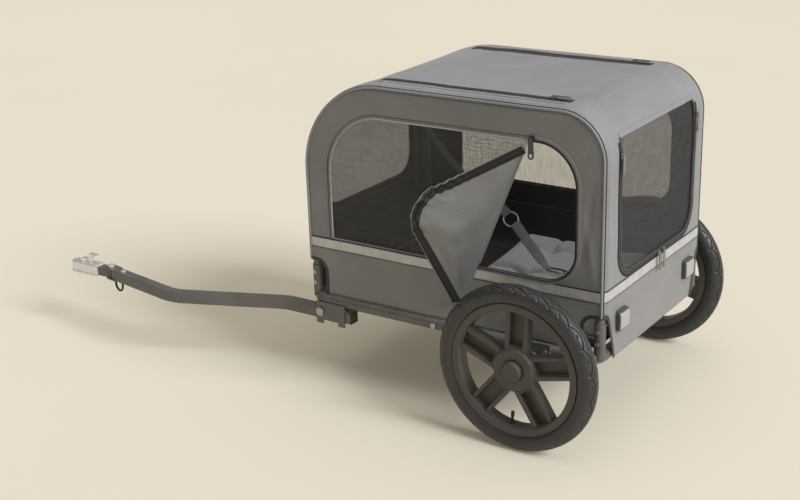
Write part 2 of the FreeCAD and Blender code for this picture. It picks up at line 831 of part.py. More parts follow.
def build_wheel(side, sign):
    outward = Rotation(Vector(1, 0, 0), -90 * sign)
    y = f"{sign} * wheel_y"
    ring = place(revolved_body(f"{side}_rim_ring", rim_outline()), "0", y, "axle_z", outward)
    hub = place(revolved_body(f"{side}_hub", hub_outline()), "0", y, "axle_z", outward)
    pieces = [ring, hub]
    for i in range(int(S.spoke_count)):
        spoke = doc.addObject("Part::Box", f"{side}_spoke_{i}")
        bind(spoke, Length="rim_inner_r - hub_boss_r + spoke_root + spoke_tip", Width="spoke_w",
             Height="spoke_back + spoke_front")
        spoke.Placement.Base = Vector(S.hub_boss_r - S.spoke_root, -S.spoke_w / 2, -S.spoke_back)
        channel = doc.addObject("Part::Box", f"{side}_channel_{i}")
        bind(channel, Length="rim_inner_r - hub_boss_r - 2 * spoke_tip", Width="spoke_channel_w",
             Height="spoke_channel_d")
        channel.Placement.Base = Vector(S.hub_boss_r + S.spoke_tip, -S.spoke_channel_w / 2,
                                        S.spoke_front - S.spoke_channel_d)
        rib = cut(f"{side}_rib_{i}", spoke, channel)
        turn = Rotation(Vector(0, 0, 1), S.spoke_angle + i * 360 / S.spoke_count)
        pieces.append(place(rib, "0", y, "axle_z", outward.multiply(turn)))
    keep(fuse(f"{side}_wheel", pieces), f"{side}_rim")

    outer = doc.addObject("Part::Torus", f"{side}_tyre_outer")
    bind(outer, Radius1="tyre_ring_r", Radius2="tyre_section_r")
    inner = doc.addObject("Part::Torus", f"{side}_tyre_inner")
    bind(inner, Radius1="tyre_ring_r - tyre_tread_extra", Radius2="tyre_section_r - tyre_wall")
    bead = doc.addObject("Part::Cylinder", f"{side}_bead")
    bind(bead, Radius="bead_r", Height="4 * tyre_section_r")
    bead.Placement.Base = Vector(0, 0, -2 * S.tyre_section_r)
    shell = cut(f"{side}_tyre_shell", cut(f"{side}_tyre_ring", outer, inner), bead)
    keep(place(shell, "0", y, "axle_z", outward), f"{side}_tyre")

    bearings = []
    for name, low in (("inner", "-hub_back"), ("outer", "recess_y - bearing_w")):
        high = f"{low} + bearing_w"
        outline = [("bearing_bore_r", low), ("bearing_r", low), ("bearing_r", high), ("bearing_bore_r", high)]
        body = revolved_body(f"{side}_{name}_bearing", outline)
        bearings.append(place(body, "0", y, "axle_z", outward))
    keep(group(f"{side}_bearing_pair", bearings), f"{side}_bearings")


def build_axle(side, sign):
    outward = Rotation(Vector(1, 0, 0), -90 * sign)
    y = f"{sign} * wheel_y"
    tip = "axle_inner_y - wheel_y"
    shoulder = "recess_y + seat_gap"
    head = f"{shoulder} + axle_head_t"
    hole = "hub_front + button_lift - stem_l - stem_spare"
    outline = [
        ("0", tip),
        ("axle_r - axle_chamfer", tip),
        ("axle_r", f"{tip} + axle_chamfer"),
        ("axle_r", shoulder),
        ("axle_head_r", shoulder),
        ("axle_head_r", head),
        ("stem_r + slide_fit", head),
        ("stem_r + slide_fit", hole),
        ("0", hole),
    ]
    return place(revolved_body(f"{side}_axle", outline), "0", y, "axle_z", outward)


def build_button(side, sign):
    outward = Rotation(Vector(1, 0, 0), -90 * sign)
    low = "hub_front + button_lift"
    high = f"{low} + button_t"
    outline = [
        ("0", f"{low} - stem_l"),
        ("stem_r", f"{low} - stem_l"),
        ("stem_r", low),
        ("button_r", low),
        ("button_r", f"{high} - button_round"),
        ("button_r - button_round", high),
        ("0", high),
    ]
    body = revolved_body(f"{side}_button", outline)
    keep(place(body, "0", f"{sign} * wheel_y", "axle_z", outward), f"{side}_release_button")


def build_wheels():
    axles = []
    for side, sign in SIDES.items():
        build_wheel(side, sign)
        axles.append(build_axle(side, sign))
        build_button(side, sign)
    keep(group("axle_pair", axles), "wheel_axles")


# Cabin fabric

def front_wall(z):
    return lambda y, out: Vector(-S.cabin_front - out, y, z)


def rear_wall(z):
    return lambda y, out: Vector(S.cabin_rear + out, y, z)


def roof(x):
    return lambda y, out: Vector(x, y, S.top_z + out)


def cloth_face(wall):
    """Section of the wrap-round cloth: flat, with each edge rolled down to the side seam."""
    flat = S.cabin_half - S.edge_roll_w
    centre = S.edge_roll_h - S.roll_r
    end = math.atan2(-centre, S.edge_roll_w)

    def on_roll(sign, radius, angle):
        return wall(sign * (flat + radius * math.cos(angle)), centre + radius * math.sin(angle))

    def roll(sign, radius):
        middle = (end + math.pi / 2) / 2
        return [on_roll(sign, radius, angle) for angle in (end, middle, math.pi / 2)]

    outer_r = S.roll_r
    inner_r = S.roll_r - S.cloth
    right_outer, left_outer = roll(RIGHT, outer_r), roll(LEFT, outer_r)
    right_inner, left_inner = roll(RIGHT, inner_r), roll(LEFT, inner_r)
    edges = [
        Part.Arc(*right_outer),
        Part.LineSegment(right_outer[2], left_outer[2]),
        Part.Arc(*left_outer[::-1]),
        Part.LineSegment(left_outer[0], left_inner[0]),
        Part.Arc(*left_inner),
        Part.LineSegment(left_inner[2], right_inner[2]),
        Part.Arc(*right_inner[::-1]),
        Part.LineSegment(right_inner[0], right_outer[0]),
    ]
    return Part.Face(Part.Wire([edge.toShape() for edge in edges]))


def band_face(wall, half_w, low, high):
    """Flat section of a layer on the wall, between two depths."""
    corners = [(-half_w, low), (half_w, low), (half_w, high), (-half_w, high)]
    points = [wall(y, out) for y, out in corners]
    return Part.Face(Part.makePolygon(points + points[:1]))


def front_strip(section, low):
    """A section taken up the front wall and round the front corner."""
    bend_z = S.top_z - S.front_corner_r
    centre = Vector(-S.cabin_front + S.front_corner_r, 0, bend_z)
    wall = section(front_wall(low)).extrude(Vector(0, 0, bend_z - low))
    bend = section(front_wall(bend_z)).revolve(centre, Vector(0, 1, 0), 90)
    return wall.fuse(bend).removeSplitter()


def rear_strip(section, low):
    """A section taken round the rear corner and down the rear wall."""
    bend_z = S.top_z - S.rear_corner_r
    centre = Vector(S.cabin_rear - S.rear_corner_r, 0, bend_z)
    bend = section(roof(centre.x)).revolve(centre, Vector(0, 1, 0), 90)
    wall = section(rear_wall(low)).extrude(Vector(0, 0, bend_z - low))
    return wall.fuse(bend).removeSplitter()


def front_window(grow=0.0):
    half = S.front_window_w / 2 + grow
    low, high = S.rail_z + S.front_window_low - grow, S.rail_z + S.front_window_high + grow
    return window_prism("x", (-half, low), (half, high), [S.front_window_r + grow] * 4)


def rear_window(grow=0.0):
    half = S.rear_window_w / 2 + grow
    low, high = S.rail_z + S.rear_window_low - grow, S.rail_z + S.rear_window_high + grow
    top_r, low_r = S.rear_window_top_r + grow, S.rear_window_r + grow
    return window_prism("x", (-half, low), (half, high), [low_r, top_r, top_r, low_r])


def in_front():
    return half_space(-2 * S.cabin_length, -S.cabin_front + S.front_corner_r, -S.far, S.far, 0, 2 * S.top_z)


def build_wrap_panels():
    """Front, roof and rear panels, with the nets in the end windows and the rear window's zip."""
    low = S.rail_z + S.stripe_low + S.stripe_w
    net_low = S.edge_roll_h - (S.cloth + S.net_t) / 2

    def net_section(width):
        return lambda wall: band_face(wall, width / 2, net_low, net_low + S.net_t)

    front_hole = front_window().common(in_front())
    keep_shape("front_panel", front_strip(cloth_face, low).cut(front_hole))
    front_net = front_strip(net_section(S.front_window_w), low)
    keep_shape("front_mesh", front_net.common(front_window(-S.seat_gap)))

    roof_start = -S.cabin_front + S.front_corner_r
    roof_run = Vector(S.cabin_rear - S.rear_corner_r - roof_start, 0, 0)
    keep_shape("roof_panel", cloth_face(roof(roof_start)).extrude(roof_run))

    rear_hole = rear_window()
    keep_shape("rear_panel", rear_strip(cloth_face, low).cut(rear_hole))
    rear_net = rear_strip(net_section(S.rear_window_w), low)
    keep_shape("rear_mesh", rear_net.common(rear_window(-S.seat_gap)))
    tape_half = S.rear_window_w / 2 + S.tape_w
    tape_low = S.edge_roll_h + S.press_gap
    tape = rear_strip(lambda wall: band_face(wall, tape_half, tape_low, tape_low + S.tape_t), low)
    tape = tape.common(rear_window(S.tape_w)).cut(rear_hole)
    top = S.rail_z + S.rear_window_high - S.rear_window_top_r
    tape = tape.common(half_space(0, 2 * S.cabin_length, -S.far, S.far, 0, top))
    keep_shape("rear_zip_tape", tape)


def side_slab(points, radii, sign, outer=0.0, thickness=None):
    """Sheet in a side wall: an outline in X and Z, with its outer face on the side seam."""
    thick = thickness or S.cloth
    y = sign * (S.cabin_half + outer)
    flat = [Vector(p.x, y, p.z) for p in points]
    return prism(flat, radii, Vector(0, -sign * thick, 0))


def door_corners(gap=0.0):
    """Corners and radii of the door opening, from its low front corner, clockwise seen from the left."""
    front, rear = -S.door_ahead + gap, S.door_behind - gap
    low, high = S.rail_z + S.door_low + gap, S.rail_z + S.door_high - gap
    points = [Vector(front, 0, low), Vector(front, 0, high), Vector(rear, 0, high), Vector(rear, 0, low)]
    return points, [0, S.door_front_r - gap, S.door_rear_top_r - gap, S.door_rear_low_r - gap]


def fold_line(gap):
    """Ends of the door's fold at a gap from the opening's low and high edges, low end first."""
    low = Vector(-S.fold_low_ahead, 0, S.rail_z + S.door_low + S.flap_gap)
    high = Vector(-S.fold_top_ahead, 0, S.rail_z + S.door_high - S.flap_gap)
    more = (high - low) * ((S.flap_gap - gap) / (high.z - low.z))
    return low - more, high + more


def build_sides():
    inset = S.cloth + S.seat_gap
    low = S.rail_z + S.stripe_low + S.stripe_w
    points, radii = side_outline(inset, low, 0)
    door_points, door_radii = door_corners()
    opening = prism([Vector(p.x, -S.far, p.z) for p in door_points], door_radii, Vector(0, S.far, 0))
    keep_shape("left_side_panel", side_slab(points, radii, LEFT).cut(opening))
    window = window_prism("y", (-S.side_window_ahead, S.rail_z + S.side_window_low),
                          (S.side_window_behind, S.rail_z + S.side_window_high),
                          [S.side_window_square_r] + [S.side_window_r] * 3)
    window = window.common(half_space(-S.cabin_length, S.cabin_length, 0, S.far, 0, 2 * S.top_z))
    keep_shape("right_side_panel", side_slab(points, radii, RIGHT).cut(window))
    gap = S.seat_gap
    net = [
        Vector(-S.side_window_ahead + gap, 0, S.rail_z + S.side_window_low + gap),
        Vector(-S.side_window_ahead + gap, 0, S.rail_z + S.side_window_high - gap),
        Vector(S.side_window_behind - gap, 0, S.rail_z + S.side_window_high - gap),
        Vector(S.side_window_behind - gap, 0, S.rail_z + S.side_window_low + gap),
    ]
    net_radii = [S.side_window_square_r - gap] + [S.side_window_r - gap] * 3
    keep_shape("right_mesh", side_slab(net, net_radii, RIGHT, 0, S.net_t))

    net_points, net_radii = door_corners(gap)
    fold_low, fold_high = fold_line(gap)
    aside = Vector(S.fold_gap, 0, 0)
    keep_shape("left_mesh", side_slab([net_points[0], net_points[1], fold_high - aside, fold_low - aside],
                                      [0, net_radii[1], 0, 0], LEFT, 0, S.net_t))

    outer_points, outer_radii = door_corners(-S.tape_w)
    ring = side_slab(outer_points, [0] + outer_radii[1:], LEFT, S.tape_t, S.tape_t).cut(opening)
    tape_start = -S.fold_top_ahead + S.fold_gap
    ring = ring.common(half_space(tape_start, S.cabin_length, -S.far, 0, low, 2 * S.top_z))
    keep_shape("door_zip_tape", ring)


def flap_axis():
    """Foot and direction of the door's fold, on the outer face of the side wall."""
    low, high = fold_line(S.flap_gap)
    face = Vector(0, -S.cabin_half - S.seat_gap, 0)
    return low + face, (high - low).normalize()


def build_flap():
    points, radii = door_corners(S.flap_gap)
    low, high = fold_line(S.flap_gap)
    aside = Vector(S.fold_gap, 0, 0)
    closed = side_slab([low + aside, high + aside, points[2], points[3]], [0, 0, radii[2], radii[3]], LEFT,
                       S.seat_gap, S.flap_t)
    foot, along = flap_axis()
    keep_shape("door_flap", closed.rotated(foot, along, -S.fold_open))


def build_stripe_and_skirts():
    low = S.rail_z + S.stripe_low
    up = Vector(0, 0, S.stripe_w)
    inset = S.cloth + S.seat_gap
    front, rear = -S.cabin_front + inset, S.cabin_rear - inset
    bands = [cloth_face(front_wall(low)).extrude(up), cloth_face(rear_wall(low)).extrude(up)]
    for sign in SIDES.values():
        corners = [Vector(front, 0, low), Vector(front, 0, low + S.stripe_w), Vector(rear, 0, low + S.stripe_w),
                   Vector(rear, 0, low)]
        bands.append(side_slab(corners, [0] * 4, sign))
    keep_shape("reflective_stripe", Part.makeCompound(bands))

    bottom = S.rail_z - S.skirt_drop
    arch_top = S.rail_z + S.cutout_high
    below = bottom - S.cutout_high
    for name, wall in (("front_skirt", front_wall), ("rear_skirt", rear_wall)):
        skirt = cloth_face(wall(bottom)).extrude(Vector(0, 0, low - bottom))
        for sign in SIDES.values():
            inner = sign * (S.cabin_half - S.cutout_end_w)
            foot = inner - sign * S.cutout_flare
            outer = sign * (S.cabin_half + S.cutout_end_w)
            arch = [Vector(-2 * S.cabin_length, foot, bottom), Vector(-2 * S.cabin_length, inner, arch_top),
                    Vector(-2 * S.cabin_length, outer, arch_top), Vector(-2 * S.cabin_length, outer, bottom)]
            skirt = skirt.cut(prism(arch, [0, S.cutout_r, 0, 0], Vector(4 * S.cabin_length, 0, 0)))
        keep_shape(name, skirt)

    side_bottom = S.rail_z + S.rail_r + S.seat_gap
    skirts = []
    for sign in SIDES.values():
        corners = [Vector(front, 0, side_bottom), Vector(front, 0, low), Vector(rear, 0, low),
                   Vector(rear, 0, side_bottom)]
        skirt = side_slab(corners, [0] * 4, sign)
        for edge, inward in ((-S.cabin_front, 1), (S.cabin_rear, -1)):
            inner = edge + inward * S.cutout_side_l
            outer = edge - inward * S.cutout_side_l
            arch = [Vector(inner, -S.far, below), Vector(inner, -S.far, arch_top),
                    Vector(outer, -S.far, arch_top), Vector(outer, -S.far, below)]
            skirt = skirt.cut(prism(arch, [0, S.cutout_r, 0, 0], Vector(0, 2 * S.far, 0)))
        skirts.append(skirt)
    keep_shape("side_skirts", Part.makeCompound(skirts))


def build_piping():
    cords = []
    out = S.cabin_half + S.piping_r + S.seat_gap
    for sign in SIDES.values():
        points, radii = side_outline(S.cloth / 2, S.rail_z + S.stripe_low, sign * out)
        wire = Part.Wire(rounded_edges(points, radii))
        ring = Part.Wire(Part.makeCircle(S.piping_r, points[0], Vector(0, 0, 1)))
        cords.append(wire.makePipeShell([ring], True, False))
    keep_shape("edge_piping", Part.makeCompound(cords))


# Zips on the roof, and the sliders of all the zips

def build_roof_zips():
    tapes = []
    for sign in SIDES.values():
        corner = Vector(-S.roof_zip_ahead, sign * S.roof_zip_y - S.tape_w / 2, S.top_z + S.edge_roll_h)
        tapes.append(Part.makeBox(S.roof_zip_ahead + S.roof_zip_behind, S.tape_w, S.tape_t, corner))
    keep_shape("roof_zip_tapes", Part.makeCompound(tapes))


def slider_solids():
    """Slider at the origin on a tape facing +Z, with its pull lying towards +X on top of it."""
    body = Part.makeBox(S.slider_l, S.slider_w, S.slider_t, Vector(-S.slider_l / 2, -S.slider_w / 2, 0))
    body = body.makeFillet(S.slider_t / 4, [edge for edge in body.Edges])
    start = -S.slider_l / 4
    end = start + S.pull_l
    half = S.pull_w / 2
    rise = S.slider_t + S.seat_gap
    outline = [Vector(start, -half, rise), Vector(start, half, rise), Vector(end, half, rise), Vector(end, -half, rise)]
    pull = prism(outline, [half * 0.4] * 2 + [half * 0.9] * 2, Vector(0, 0, S.pull_t))
    hole = Part.makeCylinder(half / 2, S.pull_t, Vector(end - half, 0, rise))
    return Part.makeCompound([body, pull.cut(hole)])


def keep_slider(label, position, rotation):
    obj = doc.addObject("Part::Feature", label)
    obj.Shape = slider_solids()
    obj.Placement = Placement(position + Vector(S.axle_x, 0, 0), rotation)
    keep(obj, label)


def build_sliders():
    roof_z = S.top_z + S.edge_roll_h + S.tape_t + S.seat_gap
    roof_x = S.roof_zip_behind - S.pull_l
    for side, sign in SIDES.items():
        keep_slider(f"{side}_roof_slider", Vector(roof_x, sign * S.roof_zip_y, roof_z), Rotation())
    rear_x = S.cabin_rear + S.edge_roll_h + S.tape_t + S.seat_gap
    hanging = Rotation(Vector(0, 1, 0), 90)
    edge_y = (S.rear_window_w + S.tape_w) / 2
    high_z = S.top_z - S.rear_corner_r + S.slider_l / 2
    low_z = S.rail_z + S.rear_window_low - S.tape_w / 2
    for side, sign in SIDES.items():
        keep_slider(f"{side}_rear_slider", Vector(rear_x, sign * edge_y, high_z), hanging)
        keep_slider(f"{side}_low_slider", Vector(rear_x, S.bottom_slider_y + sign * S.bottom_slider_spread / 2, low_z),
                    hanging)
    door_y = -(S.cabin_half + S.tape_t + S.seat_gap)
    outward = Rotation(Vector(1, 0, 0), 90)
    door_x = -S.fold_top_ahead + S.slider_l
    keep_slider("door_slider", Vector(door_x, door_y, S.rail_z + S.door_high + S.tape_w / 2), outward)


# Reflectors, cushion and tether

def build_reflectors():
    housings = []
    lenses = []
    face = S.cabin_rear + S.edge_roll_h
    for sign in SIDES.values():
        y = sign * S.reflector_spread / 2
        z = S.rail_z + S.reflector_rise
        shell = Part.makeBox(S.reflector_t, S.reflector_w, S.reflector_h,
                             Vector(face, y - S.reflector_w / 2, z - S.reflector_h / 2))
        standing = [e for e in shell.Edges if abs(e.tangentAt(e.FirstParameter).x) > 0.9]
        housings.append(shell.makeFillet(S.lens_inset * 2, standing))
        width = S.reflector_w - 2 * S.lens_inset
        height = S.reflector_h - 2 * S.lens_inset
        lens = Part.makeBox(S.lens_t, width, height, Vector(face + S.reflector_t, y - width / 2, z - height / 2))
        standing = [e for e in lens.Edges if abs(e.tangentAt(e.FirstParameter).x) > 0.9]
        lenses.append(lens.makeFillet(S.lens_inset, standing))
    keep_shape("reflector_housings", Part.makeCompound(housings))
    keep_shape("reflector_lenses", Part.makeCompound(lenses))


def quilted(length, along, base, across):
    """Side view of a quilted pad swept across it: one arc per row between the sewn valleys."""
    rows = int(S.cushion_rows)
    step = length / rows
    start = along * (-length / 2)

    def at(distance, height):
        return base + start + along * distance + Vector(0, 0, height)

    edges = [Part.LineSegment(at(length, 0), at(0, 0)), Part.LineSegment(at(0, 0), at(0, S.cushion_edge))]
    heights = [S.cushion_edge] + [S.cushion_valley] * (rows - 1) + [S.cushion_edge]
    for i in range(rows):
        crown = at((i + 0.5) * step, S.cushion_t)
        edges.append(Part.Arc(at(i * step, heights[i]), crown, at((i + 1) * step, heights[i + 1])))
    edges.append(Part.LineSegment(at(length, S.cushion_edge), at(length, 0)))
    return Part.Face(Part.Wire([edge.toShape() for edge in edges])).extrude(across)


def build_cushion():
    """Pad with a crown on each quilted square, sewn valleys between them and drawn-in sides."""
    base_z = S.floor_high + S.seat_gap
    middle = Vector(S.cushion_behind - S.cushion_l / 2, 0, base_z)
    x_axis, y_axis = Vector(1, 0, 0), Vector(0, 1, 0)
    lengthwise = quilted(S.cushion_l, x_axis, middle - y_axis * S.cushion_w, y_axis * (2 * S.cushion_w))
    crosswise = quilted(S.cushion_w, y_axis, middle - x_axis * S.cushion_l, x_axis * (2 * S.cushion_l))
    half_l, half_w = S.cushion_l / 2, S.cushion_w / 2
    corners = [Vector(-half_l, -half_w, 0), Vector(half_l, -half_w, 0), Vector(half_l, half_w, 0),
               Vector(-half_l, half_w, 0)]
    edges = []
    for i, corner in enumerate(corners):
        following = corners[(i + 1) % 4]
        waist = (corner + following) * 0.5
        waist = waist * (1 - S.cushion_waist / waist.Length)
        edges.append(Part.Arc(middle + corner, middle + waist, middle + following).toShape())
    plan = Part.Face(Part.Wire(edges)).extrude(Vector(0, 0, 2 * S.cushion_t))
    keep_shape("cushion", lengthwise.common(crosswise).common(plan))


def strap_run(start, end):
    """Flat webbing between two points in the trailer's middle plane."""
    run = end - start
    slab = Part.makeBox(run.Length, S.strap_w, S.strap_t, Vector(0, -S.strap_w / 2, -S.strap_t / 2))
    slab.Placement = Placement(start, Rotation(Vector(1, 0, 0), run))
    return slab


def build_tether(bar):
    ring = Vector(-S.ring_ahead, 0, S.rail_z + S.ring_rise)
    hook_z = S.floor_high + S.cushion_t + S.hook_wire_r + 2 * S.seat_gap
    hook = Vector(-S.hook_ahead, 0, hook_z)
    down = (ring - bar).normalize()
    onward = (hook - ring).normalize()
    ring_out = S.ring_r + S.ring_wire_r + S.seat_gap
    upper = strap_run(bar + down * (S.bar_r + S.strap_t + S.seat_gap), ring - down * ring_out)
    loop = Part.makeCylinder(S.bar_r + S.strap_t + S.seat_gap, S.strap_w, bar - Vector(0, S.strap_w / 2, 0),
                             Vector(0, 1, 0))
    eye = Part.makeCylinder(S.bar_r + S.seat_gap, S.strap_w, bar - Vector(0, S.strap_w / 2, 0), Vector(0, 1, 0))
    upper = upper.fuse(loop).cut(eye).removeSplitter()
    tail = hook - onward * (S.hook_wire_r + S.seat_gap)
    lower = strap_run(ring + onward * ring_out, tail)
    keep_shape("tether_strap", Part.makeCompound([upper, lower]))
    across = down.cross(Vector(0, 1, 0))
    torus = Part.makeTorus(S.ring_r, S.ring_wire_r, ring, across)
    half = S.hook_w / 2 - S.hook_wire_r
    bends = [Vector(0, -half, 0), Vector(0, half, 0), Vector(S.hook_l, half, 0), Vector(S.hook_l, -half, 0)]
    path = Part.Wire(rounded_edges([hook + p for p in bends], [half * 0.9] * 4, closed=True))
    middle = hook + Vector(S.hook_l / 2, half, 0)
    wire_ring = Part.Wire(Part.makeCircle(S.hook_wire_r, middle, Vector(1, 0, 0)))
    open_path = Part.Wire(rounded_edges(
        [middle, hook + bends[2], hook + bends[3], hook + bends[0], hook + bends[1], middle - Vector(1, 0, 0)],
        [0] + [half * 0.9] * 4 + [0]))
    snap = open_path.makePipeShell([wire_ring], True, False)
    keep_shape("tether_hardware", Part.makeCompound([torus, snap]))
    print("tether", round((ring - bar).Length + (hook - ring).Length), "mm, hook path", round(path.Length))


# Tow arm and hitch

def arm_points():
    return [
        Vector(-S.arm_tail_ahead, -S.rail_y, S.arm_z),
        Vector(-S.near_bend_ahead, -S.rail_y, S.arm_z),
        Vector(-S.far_bend_ahead, -S.far_bend_y, S.arm_z),
        Vector(-S.hitch_ahead, -S.hitch_y, S.arm_z),
    ]


def arm_heading():
    points = arm_points()
    return (points[3] - points[2]).normalize()


def yoke_bolt_foot():
    """Where the bolt that holds the yoke stands, on the arm's centre line."""
    return arm_points()[3] - arm_heading() * S.yoke_bolt_back


def yoke_drill():
    foot = yoke_bolt_foot() - Vector(0, 0, S.arm_w)
    return Part.makeCylinder(S.yoke_bolt_r + S.bolt_fit, 2 * S.arm_w, foot)


def build_arm():
    points = arm_points()
    points[3] = points[3] - arm_heading() * S.arm_end_back
    half = S.arm_w / 2
    inner = half - S.arm_wall
    outer_solid = ribbon(points, S.arm_bend_r, half).extrude(Vector(0, 0, S.arm_w))
    outer_solid.translate(Vector(0, 0, -half))
    hollow = ribbon(points, S.arm_bend_r, inner).extrude(Vector(0, 0, 2 * inner))
    hollow.translate(Vector(0, 0, -inner))
    drill = Part.makeCylinder(S.bolt_r + S.bolt_fit, 2 * S.arm_w,
                              Vector(-S.arm_bolt_ahead, -S.rail_y - S.arm_w, S.rail_z - S.arm_bolt_drop),
                              Vector(0, 1, 0))
    keep_shape("tow_arm", outer_solid.cut(hollow).cut(drill).cut(yoke_drill()))

    cap = box("cap_face", "cap_t", "arm_w", "arm_w", "-arm_tail_ahead", "-rail_y - arm_w / 2", "arm_z - arm_w / 2")
    inside = "arm_w - 2 * arm_wall - 2 * slide_fit"
    plug = box("cap_plug", "cap_plug_l", inside, inside, "-arm_tail_ahead - cap_plug_l",
               f"-rail_y - ({inside}) / 2", f"arm_z - ({inside}) / 2")
    keep(fuse("arm_cap", [cap, plug]), "tow_arm_end_cap")

    outside = "(bracket_half + bracket_t + seat_gap)"
    length = f"2 * {outside}"
    z = "rail_z - arm_bolt_drop"
    shank = cylinder("arm_bolt_shank", "bolt_r", length, "-arm_bolt_ahead", f"-rail_y - {outside}", z, "y")
    head = cylinder("arm_bolt_head", "1.6 * bolt_head_r", "bolt_head_t", "-arm_bolt_ahead",
                    f"-rail_y - {outside} - bolt_head_t", z, "y")
    nut = cylinder("arm_bolt_nut", "bolt_head_r", "1.5 * bolt_head_t", "-arm_bolt_ahead", f"-rail_y + {outside}",
                   z, "y")
    keep(fuse("arm_bolt", [shank, head, nut]), "tow_arm_bolt")


def build_tow_bracket():
    """Two plates and a web welded under the left rail, with a slot for the arm's bolt open to the front."""
    inner, outer = "bracket_half", "(bracket_half + bracket_t)"
    web_low = "(arm_w / 2 - arm_drop + bracket_web_rise)"
    web_high = f"({web_low} + bracket_web_t)"
    corners = [
        (f"-{outer}", "-bracket_low"),
        (f"-{inner}", "-bracket_low"),
        (f"-{inner}", web_low),
        (inner, web_low),
        (inner, "-bracket_low"),
        (outer, "-bracket_low"),
        (outer, "-bracket_high"),
        (inner, "-bracket_high"),
        (inner, web_high),
        (f"-{inner}", web_high),
        (f"-{inner}", "-bracket_high"),
        (f"-{outer}", "-bracket_high"),
    ]
    body = padded_body("tow_bracket_body", "YZ_Plane", corners, "bracket_l")
    half = "bracket_l / 2"
    bolt_x = "bracket_ahead - bracket_l / 2 - arm_bolt_ahead"
    slot = "(bolt_r + bolt_fit)"
    sketch = new_sketch(body, "bolt_slot", "XZ_Plane")
    draw_polygon(sketch, [
        (f"-{half} - slot_over", f"-arm_bolt_drop - {slot}"),
        (f"{bolt_x} + {slot}", f"-arm_bolt_drop - {slot}"),
        (f"{bolt_x} + {slot}", f"-arm_bolt_drop + {slot}"),
        (f"-{half} - slot_over", f"-arm_bolt_drop + {slot}"),
    ])
    gap = new_sketch(body, "foot_gap", "XZ_Plane")
    draw_polygon(gap, [
        (f"-{half} + bracket_foot_l", "-bracket_low - slot_over"),
        (f"{half} - bracket_foot_l", "-bracket_low - slot_over"),
        (f"{half} - bracket_foot_l", "-bracket_low + bracket_foot_h"),
        (f"-{half} + bracket_foot_l", "-bracket_low + bracket_foot_h"),
    ])
    for name, outline in (("slot_pocket", sketch), ("foot_pocket", gap)):
        pocket = body.newObject("PartDesign::Pocket", name)
        pocket.Profile = outline
        pocket.Type = "ThroughAll"
        pocket.Midplane = True
    place(body, "-bracket_ahead + bracket_l / 2", "-rail_y", "rail_z")
    bow = tube("bracket_notch", rail_wire(-S.rail_front, 0), "rail_r + slide_fit", "tube_wall").Base
    keep(cut("tow_bracket_notched", body, bow), "tow_bracket")


